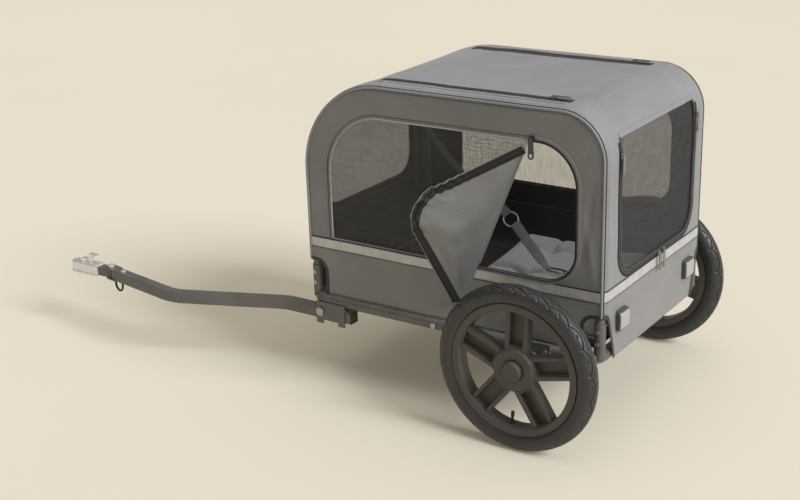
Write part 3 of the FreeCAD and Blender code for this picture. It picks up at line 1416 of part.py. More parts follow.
def build_hitch():
    heading = arm_heading()
    turned = Rotation(Vector(-1, 0, 0), heading)
    x, y = "-hitch_ahead", "-hitch_y"
    half_gap = "(arm_w / 2 - yoke_t / 2 - slide_fit)"

    # Yoke: a plug in the arm's end and two plates round the tongue.
    plug_w = "(arm_w - 2 * arm_wall - 2 * slide_fit)"
    plug = doc.addObject("Part::Box", "yoke_plug")
    bind(plug, Length="yoke_plug_l", Width=plug_w, Height=plug_w)
    plug_half = S.arm_w / 2 - S.arm_wall - S.slide_fit
    plug.Placement.Base = Vector(S.yoke_round_r + S.yoke_step, -plug_half, -plug_half)
    pieces = [plug]
    stop = doc.addObject("Part::Box", "yoke_stop")
    bind(stop, Length="arm_end_back - yoke_round_r - yoke_step - seat_gap", Width="arm_w",
         Height=f"2 * ({half_gap} + yoke_t)")
    stop.Placement.Base = Vector(S.yoke_round_r + S.yoke_step, -S.arm_w / 2,
                                 -(S.arm_w / 2 + S.yoke_t / 2 - S.slide_fit))
    pieces.append(stop)
    plate_low = S.arm_w / 2 - S.yoke_t / 2 - S.slide_fit
    for name, low in (("top", plate_low), ("bottom", -plate_low - S.yoke_t)):
        plate = doc.addObject("Part::Box", f"yoke_{name}_plate")
        bind(plate, Length="arm_end_back - seat_gap", Width="2 * yoke_round_r", Height="yoke_t")
        plate.Placement.Base = Vector(0, -S.yoke_round_r, low)
        nose = doc.addObject("Part::Cylinder", f"yoke_{name}_nose")
        bind(nose, Radius="yoke_round_r", Height="yoke_t")
        nose.Placement.Base = Vector(0, 0, low)
        pieces += [plate, nose]
    eye = doc.addObject("Part::Cylinder", "yoke_eye")
    bind(eye, Radius="pivot_r + running_fit", Height="2 * arm_w")
    eye.Placement.Base = Vector(0, 0, -S.arm_w)
    drill = doc.addObject("Part::Cylinder", "yoke_drill")
    bind(drill, Radius="yoke_bolt_r + bolt_fit", Height="2 * arm_w")
    drill.Placement.Base = Vector(S.yoke_bolt_back, 0, -S.arm_w)
    yoke = cut("yoke", fuse("yoke_solid", pieces), fuse("yoke_holes", [eye, drill]))
    keep(place(yoke, x, y, "arm_z", turned), "hitch_yoke")

    # Pivot bolt, upright, with its nut below.
    plate_out = f"({half_gap} + yoke_t + seat_gap)"
    shank = cylinder("pivot_shank", "pivot_r", f"2 * {plate_out}", x, y, f"arm_z - {plate_out}")
    head = cylinder("pivot_head", "pivot_head_r", "pivot_head_t", x, y, f"arm_z + {plate_out}")
    nut = cylinder("pivot_nut", "pivot_head_r", "pivot_head_t", x, y, f"arm_z - {plate_out} - pivot_head_t")
    pivot = fuse("pivot", [shank, head, nut])
    foot = yoke_bolt_foot()
    half = "(arm_w / 2 + seat_gap)"
    stem = cylinder("yoke_bolt_stem", "yoke_bolt_r", f"2 * {half}", str(foot.x), str(foot.y), f"arm_z - {half}")
    cap = cylinder("yoke_bolt_head", "yoke_bolt_head_r", "yoke_bolt_head_t", str(foot.x), str(foot.y),
                   f"arm_z + {half}")
    base = cylinder("yoke_bolt_nut", "yoke_bolt_head_r", "yoke_bolt_head_t", str(foot.x), str(foot.y),
                    f"arm_z - {half} - yoke_bolt_head_t")
    keep(group("hitch_bolts", [pivot, fuse("yoke_bolt", [stem, cap, base])]), "hitch_pivot_bolt")

    # Tongue between the plates, reaching into the coupler.
    tongue_half = f"({half_gap} - seat_gap)"
    tongue_w = "(coupler_w - 2 * coupler_wall - 2 * seat_gap)"
    bar = box("tongue_bar", "tongue_l", tongue_w, f"2 * {tongue_half}", f"{x} - tongue_l", f"{y} - {tongue_w} / 2",
              f"arm_z - {tongue_half}")
    ear = cylinder("tongue_ear", f"{tongue_w} / 2", f"2 * {tongue_half}", x, y, f"arm_z - {tongue_half}")
    bore = cylinder("tongue_bore", "pivot_r + running_fit", f"2 * {tongue_half}", x, y, f"arm_z - {tongue_half}")
    keep(cut("tongue", fuse("tongue_solid", [bar, ear]), bore), "hitch_tongue")
    build_coupler()
    build_lever()
    build_safety_strap(heading)


def build_coupler():
    """Channel over the tongue, with a closed nose that takes the ball from below."""
    nose = -S.nose_ahead
    back = nose + S.coupler_l
    half_w, half_h = S.coupler_w / 2, S.coupler_h / 2
    middle = Vector(0, -S.hitch_y, S.arm_z)
    ball_x = nose + S.ball_from_nose
    socket_r = S.ball_r + S.ball_fit
    block_back = ball_x + socket_r + S.coupler_wall

    def plan(half, height, low, round_r):
        points = [Vector(back, -half, low), Vector(nose, -half, low), Vector(nose, half, low), Vector(back, half, low)]
        solid = prism(points, [0, round_r, round_r, 0], Vector(0, 0, height))
        solid.translate(middle)
        return solid

    shell = plan(half_w, S.coupler_h, -half_h, half_w * 0.95)
    rim = max(shell.Faces, key=lambda face: face.CenterOfMass.z)
    shell = shell.makeFillet(S.coupler_wall, rim.Edges)
    shell = shell.fuse(plan(half_w + S.coupler_flange, S.coupler_wall, -half_h, half_w))
    inside = half_w - S.coupler_wall
    hollow = Part.makeBox(back - block_back, 2 * inside, S.coupler_h - S.coupler_wall,
                          middle + Vector(block_back, -inside, -half_h))
    bore = Part.makeCylinder(socket_r, S.ball_depth, middle + Vector(ball_x, 0, -half_h))
    shell = shell.cut(hollow).cut(bore)
    pivot = Vector(nose + S.lever_from_nose, -S.hitch_y, S.lever_z)
    roof_z = S.arm_z + half_h
    for sign in SIDES.values():
        inner = S.lever_w / 2 + S.seat_gap
        low_y = inner if sign == RIGHT else -inner - S.lug_t
        foot = Part.makeBox(2 * S.lever_eye_r, S.lug_t, S.lever_z - roof_z + S.lug_root,
                            Vector(pivot.x - S.lever_eye_r, pivot.y + low_y, roof_z - S.lug_root))
        top = Part.makeCylinder(S.lever_eye_r, S.lug_t, pivot + Vector(0, low_y, 0), Vector(0, 1, 0))
        shell = shell.fuse(foot).fuse(top)
        rivet_x = back - (S.tongue_l - S.coupler_back) / 2
        rivet = Part.makeCylinder(S.small_head_r, S.small_head_t,
                                  Vector(rivet_x, -S.hitch_y + sign * half_w, S.arm_z), Vector(0, sign, 0))
        shell = shell.fuse(rivet)
    hole = Part.makeCylinder(S.lever_pin_r + S.running_fit, 4 * S.lever_w, pivot - Vector(0, 2 * S.lever_w, 0),
                             Vector(0, 1, 0))
    keep_shape("coupler_body", shell.cut(hole).removeSplitter())


def build_lever():
    """Hooked finger lever: it lies back along the coupler and lifts about its front pin."""
    thick = "lever_eye_r"
    corners = [
        ("0", f"-{thick} + lever_belly"),
        ("lever_reach / 2", f"-{thick} + lever_belly"),
        ("lever_reach * 0.62", "lever_rise * 0.45"),
        ("lever_reach", "lever_rise * 0.72"),
        ("lever_reach", "lever_rise - lever_eye_r"),
        ("lever_reach * 0.5", "lever_rise - lever_eye_r"),
        ("lever_reach * 0.36", thick),
        ("0", thick),
    ]
    circles = [("lever_reach * 0.8", "lever_rise * 0.74", "lever_eye_r * 0.3")]
    body = padded_body("lever_body", "XZ_Plane", corners, "lever_w", circles)
    place(body, "-nose_ahead + lever_from_nose", "-hitch_y", "lever_z")
    eye = cylinder("lever_eye", "lever_eye_r", "lever_w", "-nose_ahead + lever_from_nose", "-hitch_y - lever_w / 2",
                   "lever_z", "y")
    pin_half = "(lever_w / 2 + seat_gap + lug_t)"
    pin = cylinder("lever_pin", "lever_pin_r", f"2 * {pin_half}", "-nose_ahead + lever_from_nose",
                   f"-hitch_y - {pin_half}", "lever_z", "y")
    keep(fuse("lever", [body, eye, pin]), "coupler_lever")


def build_safety_strap(heading):
    """Short loop that hangs from the yoke and goes back to the arm."""
    back = heading * -1
    hitch = Vector(-S.hitch_ahead, -S.hitch_y, S.arm_z)
    yoke_low = -(S.arm_w / 2 + S.yoke_t / 2 - S.slide_fit) - S.seat_gap
    arm_low = -S.arm_w / 2 - S.seat_gap
    end_back = S.safety_end
    start_back = end_back - S.safety_span
    low = yoke_low - S.safety_drop
    stations = [
        (start_back, yoke_low),
        (start_back, low * 0.6 + yoke_low * 0.4),
        ((start_back + end_back) / 2, low),
        (end_back, low * 0.6 + arm_low * 0.4),
        (end_back, arm_low),
    ]
    points = [hitch + back * along + Vector(0, 0, height) for along, height in stations]
    radii = [0]
    for i in range(1, len(points) - 1):
        before, after = points[i] - points[i - 1], points[i + 1] - points[i]
        shorter = min(before.Length, after.Length)
        radii.append(0.45 * shorter / math.tan(before.getAngle(after) / 2))
    radii.append(0)
    wire = Part.Wire(rounded_edges(points, radii))
    ring = Part.Wire(Part.makeCircle(S.safety_r, points[0], Vector(0, 0, 1)))
    loop = wire.makePipeShell([ring], True, False)
    keep_shape("safety_strap", loop)
    section = math.pi * S.safety_r ** 2
    print("safety strap", round(wire.Length), "mm, radii", [round(r, 1) for r in radii[1:-1]],
          "volume over section times length", round(loop.Volume / (section * wire.Length), 3))


build_bottom_frame()
build_floor()
frame_bolts, tether_bar = build_uprights()
frame_bolts += build_axle_brackets()
build_frame_bolts(frame_bolts)
build_wheels()
build_wrap_panels()
build_sides()
build_flap()
build_stripe_and_skirts()
build_piping()
build_roof_zips()
build_sliders()
build_reflectors()
build_cushion()
build_tether(tether_bar)
build_arm()
build_tow_bracket()
build_hitch()

doc.recompute()
for obj in doc.Objects:
    if "Invalid" in obj.State or "Error" in obj.State:
        raise RuntimeError(f"{obj.Name} ({obj.Label}) did not compute: {obj.State}")
for obj in nodes:
    if obj.Shape.isNull() or not obj.Shape.isValid() or not obj.Shape.Solids:
        raise RuntimeError(f"{obj.Label} has no valid solid")

os.makedirs("parts", exist_ok=True)
for obj in nodes:
    obj.Shape.exportStep(f"parts/{obj.Label}.step")
print(len(nodes), "parts written")
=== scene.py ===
import math

import bpy
import numpy as np
from mathutils import Matrix, Vector


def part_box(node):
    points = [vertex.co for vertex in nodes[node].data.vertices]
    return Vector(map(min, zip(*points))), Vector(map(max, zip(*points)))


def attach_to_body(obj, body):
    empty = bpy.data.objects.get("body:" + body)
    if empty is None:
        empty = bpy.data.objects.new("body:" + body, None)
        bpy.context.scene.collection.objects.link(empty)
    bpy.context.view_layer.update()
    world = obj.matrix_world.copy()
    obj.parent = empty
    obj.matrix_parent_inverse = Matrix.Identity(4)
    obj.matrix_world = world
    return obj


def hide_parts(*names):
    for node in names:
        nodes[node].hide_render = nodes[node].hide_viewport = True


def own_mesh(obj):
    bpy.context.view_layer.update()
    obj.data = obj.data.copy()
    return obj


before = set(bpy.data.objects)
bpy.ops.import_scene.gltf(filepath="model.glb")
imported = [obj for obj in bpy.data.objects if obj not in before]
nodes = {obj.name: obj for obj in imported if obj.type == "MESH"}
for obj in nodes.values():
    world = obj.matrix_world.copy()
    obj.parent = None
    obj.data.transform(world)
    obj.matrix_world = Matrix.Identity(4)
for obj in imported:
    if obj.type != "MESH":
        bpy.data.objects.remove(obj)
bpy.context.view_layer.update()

# Sizes are millimetres from the axle's middle on the ground: -X ahead, -Y left, +Z up.
# Meshes are made in metres in the part's frame by to_scene().

MM = 0.001
AXLE_LOW, AXLE_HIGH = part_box("wheel_axles")
AXLE_X = (AXLE_LOW.x + AXLE_HIGH.x) / 2
SIDES = {"left": -1, "right": 1}

# Cabin outline
FRONT, REAR, HALF, TOP = -641.0, 159.0, 272.0, 775.0
FRONT_R, REAR_R = 220.0, 105.0
ROLL_W, ROLL_H, ROLL_R = 24.0, 8.0, 40.0
SKIRT_LOW, SIDE_SKIRT_LOW = 207.0, 230.5
STRIPE_LOW, STRIPE_HIGH = 354.0, 377.0
PANEL_LOW = 360.0
CUT_TOP, CUT_R, SIDE_CUT, END_CUT, CUT_FLARE = 319.0, 30.0, 46.0, 20.0, 33.0
CLOTH, CLOTH_STEP, NET_STEP = 2.0, 6.5, 9.0

# Door and windows: low corner, high corner, radii from the low corner at the first axis's low end, going up
DOOR = ((-570.0, 384.0), (96.0, 702.0), (2.0, 150.0, 98.0, 75.0))
SIDE_WINDOW = ((-531.0, 415.0), (86.0, 690.0), (8.0, 60.0, 80.0, 60.0))
FRONT_WINDOW = ((-198.0, 424.0), (198.0, 690.0), (60.0, 60.0, 60.0, 60.0))
REAR_WINDOW = ((-200.0, 394.0), (200.0, 710.0), (60.0, 8.0, 8.0, 60.0))
FOLD_LOW, FOLD_HIGH = (-150.0, 394.0), (-28.0, 692.0)
FOLD_OPEN = 144.0
ROOF_ZIP_Y, ROOF_ZIP_FRONT, ROOF_ZIP_REAR = 210.0, -446.0, 50.0
DOOR_ZIP_TOP, DOOR_EDGE_TOP = -14.0, -16.0
TAPE_W = 14.0


def to_scene(points):
    """Millimetres from the axle to metres in the part's frame."""
    return np.asarray(points, float) * MM + np.array([AXLE_X, 0.0, 0.0])


def from_scene(points):
    return (points - np.array([AXLE_X, 0.0, 0.0])) / MM


def smooth_step(value, low, high):
    t = np.clip((np.asarray(value, float) - low) / (high - low), 0, 1)
    return t * t * (3 - 2 * t)


def ripple(u, v, seed, wave):
    """Smooth unevenness between about -1 and 1, with a typical wavelength."""
    rng = np.random.default_rng(seed)
    total = np.zeros(np.broadcast(u, v).shape)
    for _ in range(8):
        heading, phase = rng.uniform(0, math.pi), rng.uniform(0, 2 * math.pi)
        turn = 2 * math.pi / (wave * rng.uniform(0.7, 1.7))
        total += np.sin(turn * (u * math.cos(heading) + v * math.sin(heading)) + phase)
    return total / 4.5


def crease(u, v, start, end, width, height):
    """Soft fold along a line, fading out at both ends."""
    run = np.subtract(end, start)
    length = np.hypot(*run)
    along = ((u - start[0]) * run[0] + (v - start[1]) * run[1]) / length
    aside = ((v - start[1]) * run[0] - (u - start[0]) * run[1]) / length
    t = np.clip(along / length, 0, 1)
    return height * np.exp(-(aside / width) ** 2) * np.sin(math.pi * t) ** 0.7


def creases(u, v, folds):
    return sum(crease(u, v, *fold) for fold in folds)


def rounded_box(u, v, low, high, radii):
    """Distance to a rectangle with rounded corners, below zero inside it."""
    (u0, v0), (u1, v1) = low, high
    pu, pv = u - (u0 + u1) / 2, v - (v0 + v1) / 2
    low_left, high_left, high_right, low_right = radii
    r = np.where(pu < 0, np.where(pv < 0, low_left, high_left), np.where(pv < 0, low_right, high_right))
    qu, qv = np.abs(pu) - (u1 - u0) / 2 + r, np.abs(pv) - (v1 - v0) / 2 + r
    return np.minimum(np.maximum(qu, qv), 0) + np.hypot(np.maximum(qu, 0), np.maximum(qv, 0)) - r


def rounded_path(corners, radii, step=7.0, closed=True):
    """Points along straight runs joined by arcs."""
    corners = [np.array(c, float) for c in corners]
    count = len(corners)
    pieces = []
    for i, (corner, radius) in enumerate(zip(corners, radii)):
        if radius <= 0 or (not closed and i in (0, count - 1)):
            pieces.append(corner[None])
            continue
        before = corners[i - 1] - corner
        after = corners[(i + 1) % count] - corner
        before, after = before / np.linalg.norm(before), after / np.linalg.norm(after)
        half = math.acos(np.clip(np.dot(before, after), -1, 1)) / 2
        middle = (before + after) / np.linalg.norm(before + after)
        centre = corner + middle * radius / math.sin(half)
        start, end = corner + before * radius / math.tan(half), corner + after * radius / math.tan(half)
        turns = max(3, int(radius * (math.pi - 2 * half) / step))
        first, last = start - centre, end - centre
        sweep_angle = math.acos(np.clip(np.dot(first, last) / radius ** 2, -1, 1))
        t = np.linspace(0, 1, turns + 1)[:, None]
        arc = np.sin((1 - t) * sweep_angle) * first + np.sin(t * sweep_angle) * last
        pieces.append(centre + arc / math.sin(sweep_angle))
    points = np.vstack(pieces + ([pieces[0][:1]] if closed else []))
    return respace(points, step)


def respace(points, step):
    """The same line with points evenly spaced on each straight run, corners kept."""
    out = [points[0]]
    for a, b in zip(points[:-1], points[1:]):
        length = np.linalg.norm(b - a)
        if length < 1e-6:
            continue
        count = max(1, int(round(length / step)))
        out.extend(a + (b - a) * k / count for k in range(1, count + 1))
    return np.array(out)


# Meshes

def add_object(name, data):
    obj = bpy.data.objects.new(name, data)
    bpy.context.scene.collection.objects.link(obj)
    return obj


def new_object(name, points, faces, uv, materials, smooth=True):
    """Mesh object from places in millimetres, with an optional flat place for each point."""
    mesh = bpy.data.meshes.new(name)
    mesh.from_pydata([tuple(p) for p in to_scene(points)], [], [tuple(int(i) for i in f) for f in faces])
    if uv is not None:
        layer = mesh.uv_layers.new(name="flat")
        index = np.empty(len(mesh.loops), int)
        mesh.loops.foreach_get("vertex_index", index)
        layer.data.foreach_set("uv", (np.asarray(uv, float)[index] * MM).ravel())
    for material in materials:
        mesh.materials.append(material)
    mesh.polygons.foreach_set("use_smooth", [smooth] * len(mesh.polygons))
    mesh.update()
    return add_object(name, mesh)


def attach(piece, body, slot, *replaced):
    """Let a piece move with a body and stand for the solids it replaces, which are hidden. The slot is not
    used.
    """
    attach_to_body(piece, body)
    if replaced:
        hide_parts(*replaced)
    return piece


def grid_faces(rows, columns, wrap_rows=False, wrap_columns=False):
    index = np.arange(rows * columns).reshape(rows, columns)
    if wrap_rows:
        index = np.vstack([index, index[:1]])
    if wrap_columns:
        index = np.hstack([index, index[:, :1]])
    return np.stack([index[:-1, :-1], index[1:, :-1], index[1:, 1:], index[:-1, 1:]], -1).reshape(-1, 4)


def flip(faces):
    return [tuple(reversed(face)) for face in faces]


def cloth(name, us, vs, surface, materials, removed=None, outward=True, thickness=CLOTH):
    """Sheet on a surface, cut where removed() is above zero. Returns the piece and its flat area in mm2."""
    u, v = np.meshgrid(us, vs, indexing="ij")
    faces = grid_faces(*u.shape)
    u, v = u.ravel(), v.ravel()
    if removed is not None:
        depth = removed(u, v)
        faces = faces[(depth[faces] < 0).any(1)]
        used = np.zeros(len(u), bool)
        used[faces.ravel()] = True
        for _ in range(4):
            depth = removed(u, v)
            slope_u = (removed(u + 0.05, v) - removed(u - 0.05, v)) / 0.1
            slope_v = (removed(u, v + 0.05) - removed(u, v - 0.05)) / 0.1
            square = np.maximum(slope_u ** 2 + slope_v ** 2, 0.05)
            move = used & (depth > 0)
            u = np.where(move, u - depth * slope_u / square, u)
            v = np.where(move, v - depth * slope_v / square, v)
        order = np.cumsum(used) - 1
        faces = order[faces]
        u, v = u[used], v[used]
    ring = np.stack([u[faces], v[faces]], -1)
    following = np.roll(ring, -1, axis=1)
    area = np.abs((ring[..., 0] * following[..., 1] - ring[..., 1] * following[..., 0]).sum(1)).sum() / 2
    faces = faces if outward else flip(faces)
    obj = new_object(name, surface(u, v), faces, np.stack([u, v], -1), materials)
    if thickness:
        solid = obj.modifiers.new("thickness", "SOLIDIFY")
        solid.thickness = thickness * MM
        solid.offset = -1
        solid.material_offset = 1 if len(materials) > 1 else 0
    return obj, area


def unit(vectors):
    vectors = np.asarray(vectors, float)
    return vectors / np.maximum(np.linalg.norm(vectors, axis=-1, keepdims=True), 1e-9)


def sweep(name, points, normals, section, materials, closed=False):
    """A closed section carried along a path: its first axis lies across, its second along the normal."""
    points, normals = np.asarray(points, float), unit(normals)
    if closed:
        points, normals = points[:-1], normals[:-1]
        tangents = unit(np.roll(points, -1, 0) - np.roll(points, 1, 0))
    else:
        tangents = unit(np.gradient(points, axis=0))
    across = unit(np.cross(tangents, normals))
    section = np.asarray(section, float)
    ring = points[:, None] + across[:, None] * section[:, :1] + normals[:, None] * section[:, 1:]
    count, width = ring.shape[:2]
    lengths = np.concatenate([[0], np.cumsum(np.linalg.norm(np.diff(points, axis=0), axis=1))])
    uv = np.stack(np.broadcast_arrays(lengths[:, None], section[None, :, 0]), -1).reshape(-1, 2)
    faces = [tuple(f) for f in grid_faces(count, width, wrap_rows=closed, wrap_columns=True)]
    if not closed:
        faces += [tuple(range(width)), tuple(reversed(range((count - 1) * width, count * width)))]
    return new_object(name, ring.reshape(-1, 3), flip(faces), uv, materials)


def flat_section(width, height, edge=None):
    """Flat strip with softened edges, lying on the surface."""
    edge = edge or height * 0.5
    w, flat = width / 2, (width / 2 - edge) * 0.85
    half = [(w, 0), (w, height - edge), (w - edge, height), (flat, height)]
    return [(-x, z) for x, z in half] + half[::-1]


def round_section(radius, sides=10, lift=0.0):
    angles = np.arange(sides) * 2 * math.pi / sides
    return np.stack([radius * np.cos(angles), radius * np.sin(angles) + lift], -1)[::-1]


def zip_section(width, height, coil_w, coil_h):
    w, c = width / 2, coil_w / 2
    half = [(w, 0), (w, height), (c, height), (c * 0.7, coil_h)]
    return [(-x, z) for x, z in half] + half[::-1]


def lathe(name, outline, count, centre, materials, relief=None):
    """Closed outline of radius and height turned about an axis along Y."""
    outline = np.asarray(outline, float)
    turn = np.arange(count) * 2 * math.pi / count
    radius = np.broadcast_to(outline[None, :, 0], (count, len(outline))).copy()
    height = np.broadcast_to(outline[None, :, 1], radius.shape).copy()
    if relief is not None:
        along = unit(np.roll(outline, -1, 0) - np.roll(outline, 1, 0))
        lift = relief(turn[:, None], radius, height)
        radius, height = radius + along[None, :, 1] * lift, height - along[None, :, 0] * lift
    points = np.stack([radius * np.cos(turn)[:, None] + centre[0], height + centre[1],
                       radius * np.sin(turn)[:, None] + centre[2]], -1)
    uv = np.stack(np.broadcast_arrays(turn[:, None] * 180, height), -1).reshape(-1, 2)
    faces = grid_faces(count, len(outline), wrap_rows=True, wrap_columns=True)
    return new_object(name, points.reshape(-1, 3), faces, uv, materials)


# Materials

class Graph:
    """Short way to write the nodes of a new material, or of the world."""

    def __init__(self, name, world=None):
        self.material = world or bpy.data.materials.new(name)
        self.material.use_nodes = True
        self.tree = self.material.node_tree
        self.shader = self.tree.nodes["Background" if world else "Principled BSDF"]

    def node(self, kind, settings=(), **inputs):
        item = self.tree.nodes.new("ShaderNode" + kind)
        for key, value in dict(settings).items():
            setattr(item, key, value)
        for key, value in inputs.items():
            self.set(item, key, value)
        return item

    def set(self, item, key, value):
        """Give an input a value or a link. A key is its place, as _0, or its name with _ for a space."""
        number = key[1:] if key[0] == "_" else ""
        socket = item.inputs[int(number)] if number else item.inputs[key.replace("_", " ")]
        if isinstance(value, bpy.types.NodeSocket):
            self.tree.links.new(value, socket)
        else:
            socket.default_value = value

    def shade(self, **inputs):
        for key, value in inputs.items():
            self.set(self.shader, key, value)

    def coordinates(self, kind="Object", scale=(1, 1, 1)):
        texture = self.node("TexCoord").outputs[kind]
        return self.node("Mapping", Vector=texture, Scale=scale).outputs[0]

    def flat_parts(self, kind="UV"):
        return self.node("SeparateXYZ", Vector=self.coordinates(kind)).outputs[:2]

    def noise(self, vector, scale, detail=3.0, roughness=0.55):
        item = self.node("TexNoise", Vector=vector, Scale=scale, Detail=detail, Roughness=roughness)
        return item.outputs[0]

    def math(self, operation, a, b=0.0):
        return self.node("Math", {"operation": operation}, _0=a, _1=b).outputs[0]

    def wave(self, value, pitch):
        return self.math("SINE", self.math("MULTIPLY", value, 2 * math.pi / pitch))

    def ramp(self, value, low, high, from_low=0.3, from_high=0.7):
        """Value spread between two numbers. Noise lies mostly between 0.3 and 0.7."""
        item = self.node("MapRange", Value=value, From_Min=from_low, From_Max=from_high, To_Min=low,
                         To_Max=high)
        return item.outputs[0]

    def mix(self, factor, a, b):
        return self.node("Mix", {"data_type": "RGBA"}, _0=factor, _6=a, _7=b).outputs[2]

    def shades(self, cloud, dark, light, warmth=0.0):
        return self.mix(self.ramp(cloud, 0.0, 1.0), grey(dark, warmth), grey(light, warmth))

    def bump(self, height, distance, strength=1.0, normal=None):
        item = self.node("Bump", Height=height, Distance=distance, Strength=strength)
        if normal is not None:
            self.set(item, "Normal", normal)
        return item.outputs[0]

    def bevel(self, radius):
        return self.node("Bevel", {"samples": 6}, Radius=radius).outputs[0]


def grey(value, warmth=0.0):
    return (value * (1 + warmth), value, value * (1 - warmth), 1.0)


def fabric(name, dark, light, pitch=0.0012, roughness=0.6, sheen=0.25, folds=0.0012, warmth=0.0, coat=0.0,
           mapped="UV"):
    """Woven cloth: threads, uneven colour, and soft folds smaller than the mesh shows."""
    g = Graph(name)
    flat, place = g.coordinates(mapped), g.coordinates()
    warp, weft = [g.wave(part, pitch) for part in g.flat_parts(mapped)]
    patches = g.noise(place, 9.0, 4.0)
    speck = g.ramp(g.noise(flat, 900.0, 2.0), 0.0, 0.35, 0.35, 0.8)
    colour = g.mix(speck, g.shades(patches, dark, light, warmth), grey(light * 1.25, warmth))
    soft = g.bump(g.noise(place, 16.0, 3.0, 0.6), folds, 0.6)
    g.shade(Base_Color=colour, Roughness=g.ramp(patches, roughness - 0.06, roughness + 0.06),
            Normal=g.bump(g.math("MULTIPLY", warp, weft), 0.00018, 0.5, soft), Sheen_Weight=sheen,
            Sheen_Roughness=0.45)
    if coat:
        g.shade(Coat_Weight=coat, Coat_Roughness=0.32)
    return g.material


def net_material(name, value, open_share, pitch=0.002):
    """Dark knitted mesh: mostly upright wavering threads, with gaps between them that let light through."""
    g = Graph(name)
    flat = g.coordinates("UV")
    waver = g.ramp(g.noise(flat, 38.0, 2.0), -2.6, 2.6, 0.25, 0.75)
    turned = [g.math("MULTIPLY", part, 2 * math.pi / pitch) for part in g.flat_parts()]
    along, up = [g.math("COSINE", g.math("ADD", part, waver)) for part in turned]
    holes = g.math("ADD", along, g.math("MULTIPLY", up, 0.45))
    streaks = g.ramp(g.noise(g.coordinates("UV", (1, 0.15, 1)), 150.0, 3.0), -0.25, 0.25)
    gap = g.ramp(g.math("ADD", holes, streaks), 0.1, 0.9, 0.2 - 2.0 * open_share, 1.8 - 2.0 * open_share)
    cloud = g.noise(flat, 30.0, 3.0)
    g.shade(Base_Color=g.mix(cloud, grey(value * 0.7), grey(value * 1.4)), Roughness=0.75,
            Normal=g.bump(holes, 0.0003, 0.6), Alpha=g.math("SUBTRACT", 1.0, gap))
    return g.material


def zip_material(name, value):
    """Coiled zip: teeth along the middle of a ribbed tape."""
    g = Graph(name)
    along, across = g.flat_parts()
    middle = g.math("LESS_THAN", g.math("ABSOLUTE", across), 0.0026)
    teeth = g.math("MULTIPLY", g.wave(along, 0.0022), middle)
    height = g.math("ADD", teeth, g.math("MULTIPLY", g.wave(across, 0.0011), 0.25))
    g.shade(Base_Color=g.mix(middle, grey(value), grey(value * 2.2)),
            Roughness=g.ramp(middle, 0.75, 0.38, 0, 1), Normal=g.bump(height, 0.0006, 0.8))
    return g.material


def painted_metal(name, value, bevel):
    """Powder coat: fine orange peel and uneven gloss."""
    g = Graph(name)
    place = g.coordinates()
    peel, cloud = g.noise(place, 900.0, 2.0), g.noise(place, 14.0, 4.0)
    colour = g.mix(g.ramp(cloud, 0.0, 1.0, 0.3, 0.75), grey(value * 0.85, 0.05), grey(value * 1.15, 0.05))
    g.shade(Base_Color=colour, Metallic=0.25, Roughness=g.ramp(cloud, 0.35, 0.5),
            Normal=g.bump(peel, 0.00012, 0.35, g.bevel(bevel)))
    return g.material


def bare_metal(name, value, roughness, metallic=1.0):
    """Plated steel with fine brushing and faint smudges."""
    g = Graph(name)
    brushed = g.noise(g.coordinates("Object", (1, 1, 12)), 260.0, 3.0)
    smudge = g.noise(g.coordinates(), 40.0, 3.0)
    g.shade(Base_Color=g.shades(smudge, value * 0.82, value, 0.01), Metallic=metallic,
            Roughness=g.ramp(smudge, roughness, roughness + 0.14),
            Normal=g.bump(brushed, 0.00006, 0.35, g.bevel(0.0008)))
    return g.material


def moulded(name, value, roughness, warmth, bevel, grain=700.0):
    """Moulded plastic or rubber with a fine spark-eroded grain."""
    g = Graph(name)
    place = g.coordinates()
    fine, cloud = g.noise(place, grain, 2.0), g.noise(place, 11.0, 3.0)
    normal = g.bevel(bevel) if bevel else None
    g.shade(Base_Color=g.shades(cloud, value * 0.86, value * 1.14, warmth),
            Roughness=g.ramp(cloud, roughness - 0.06, roughness + 0.08),
            Normal=g.bump(fine, 0.00015, 0.4, normal))
    return g.material


def webbing(name, value):
    """Flat webbing: ribs across it, and cords along it."""
    g = Graph(name)
    along, across = g.flat_parts()
    height = g.math("ADD", g.wave(along, 0.0016), g.math("MULTIPLY", g.wave(across, 0.0032), 0.6))
    cloud = g.noise(g.coordinates(), 60.0, 3.0)
    g.shade(Base_Color=g.shades(cloud, value * 0.85, value * 1.15, 0.01), Roughness=0.68,
            Normal=g.bump(height, 0.0004, 0.7), Sheen_Weight=0.2)
    return g.material


def reflective(name, value):
    """Reflective tape: fine glass beads in a honeycomb, silvery and slightly worn."""
    g = Graph(name)
    flat = g.coordinates("UV")
    cells = g.node("TexVoronoi", {"feature": "DISTANCE_TO_EDGE"}, Vector=flat, Scale=320.0).outputs[0]
    wear = g.noise(flat, 30.0, 4.0)
    g.shade(Base_Color=g.shades(wear, value * 0.88, value * 1.08, 0.01), Metallic=0.35, Roughness=0.5,
            Normal=g.bump(cells, 0.0002, 0.4))
    return g.material


def clear_lens(name):
    g = Graph(name)
    cloud = g.noise(g.coordinates(), 120.0, 2.0)
    g.shade(Base_Color=g.mix(cloud, grey(0.4), grey(0.52)), Metallic=0.5,
            Roughness=g.ramp(cloud, 0.16, 0.28, 0, 1), Coat_Weight=0.8, Coat_Roughness=0.08)
    return g.material


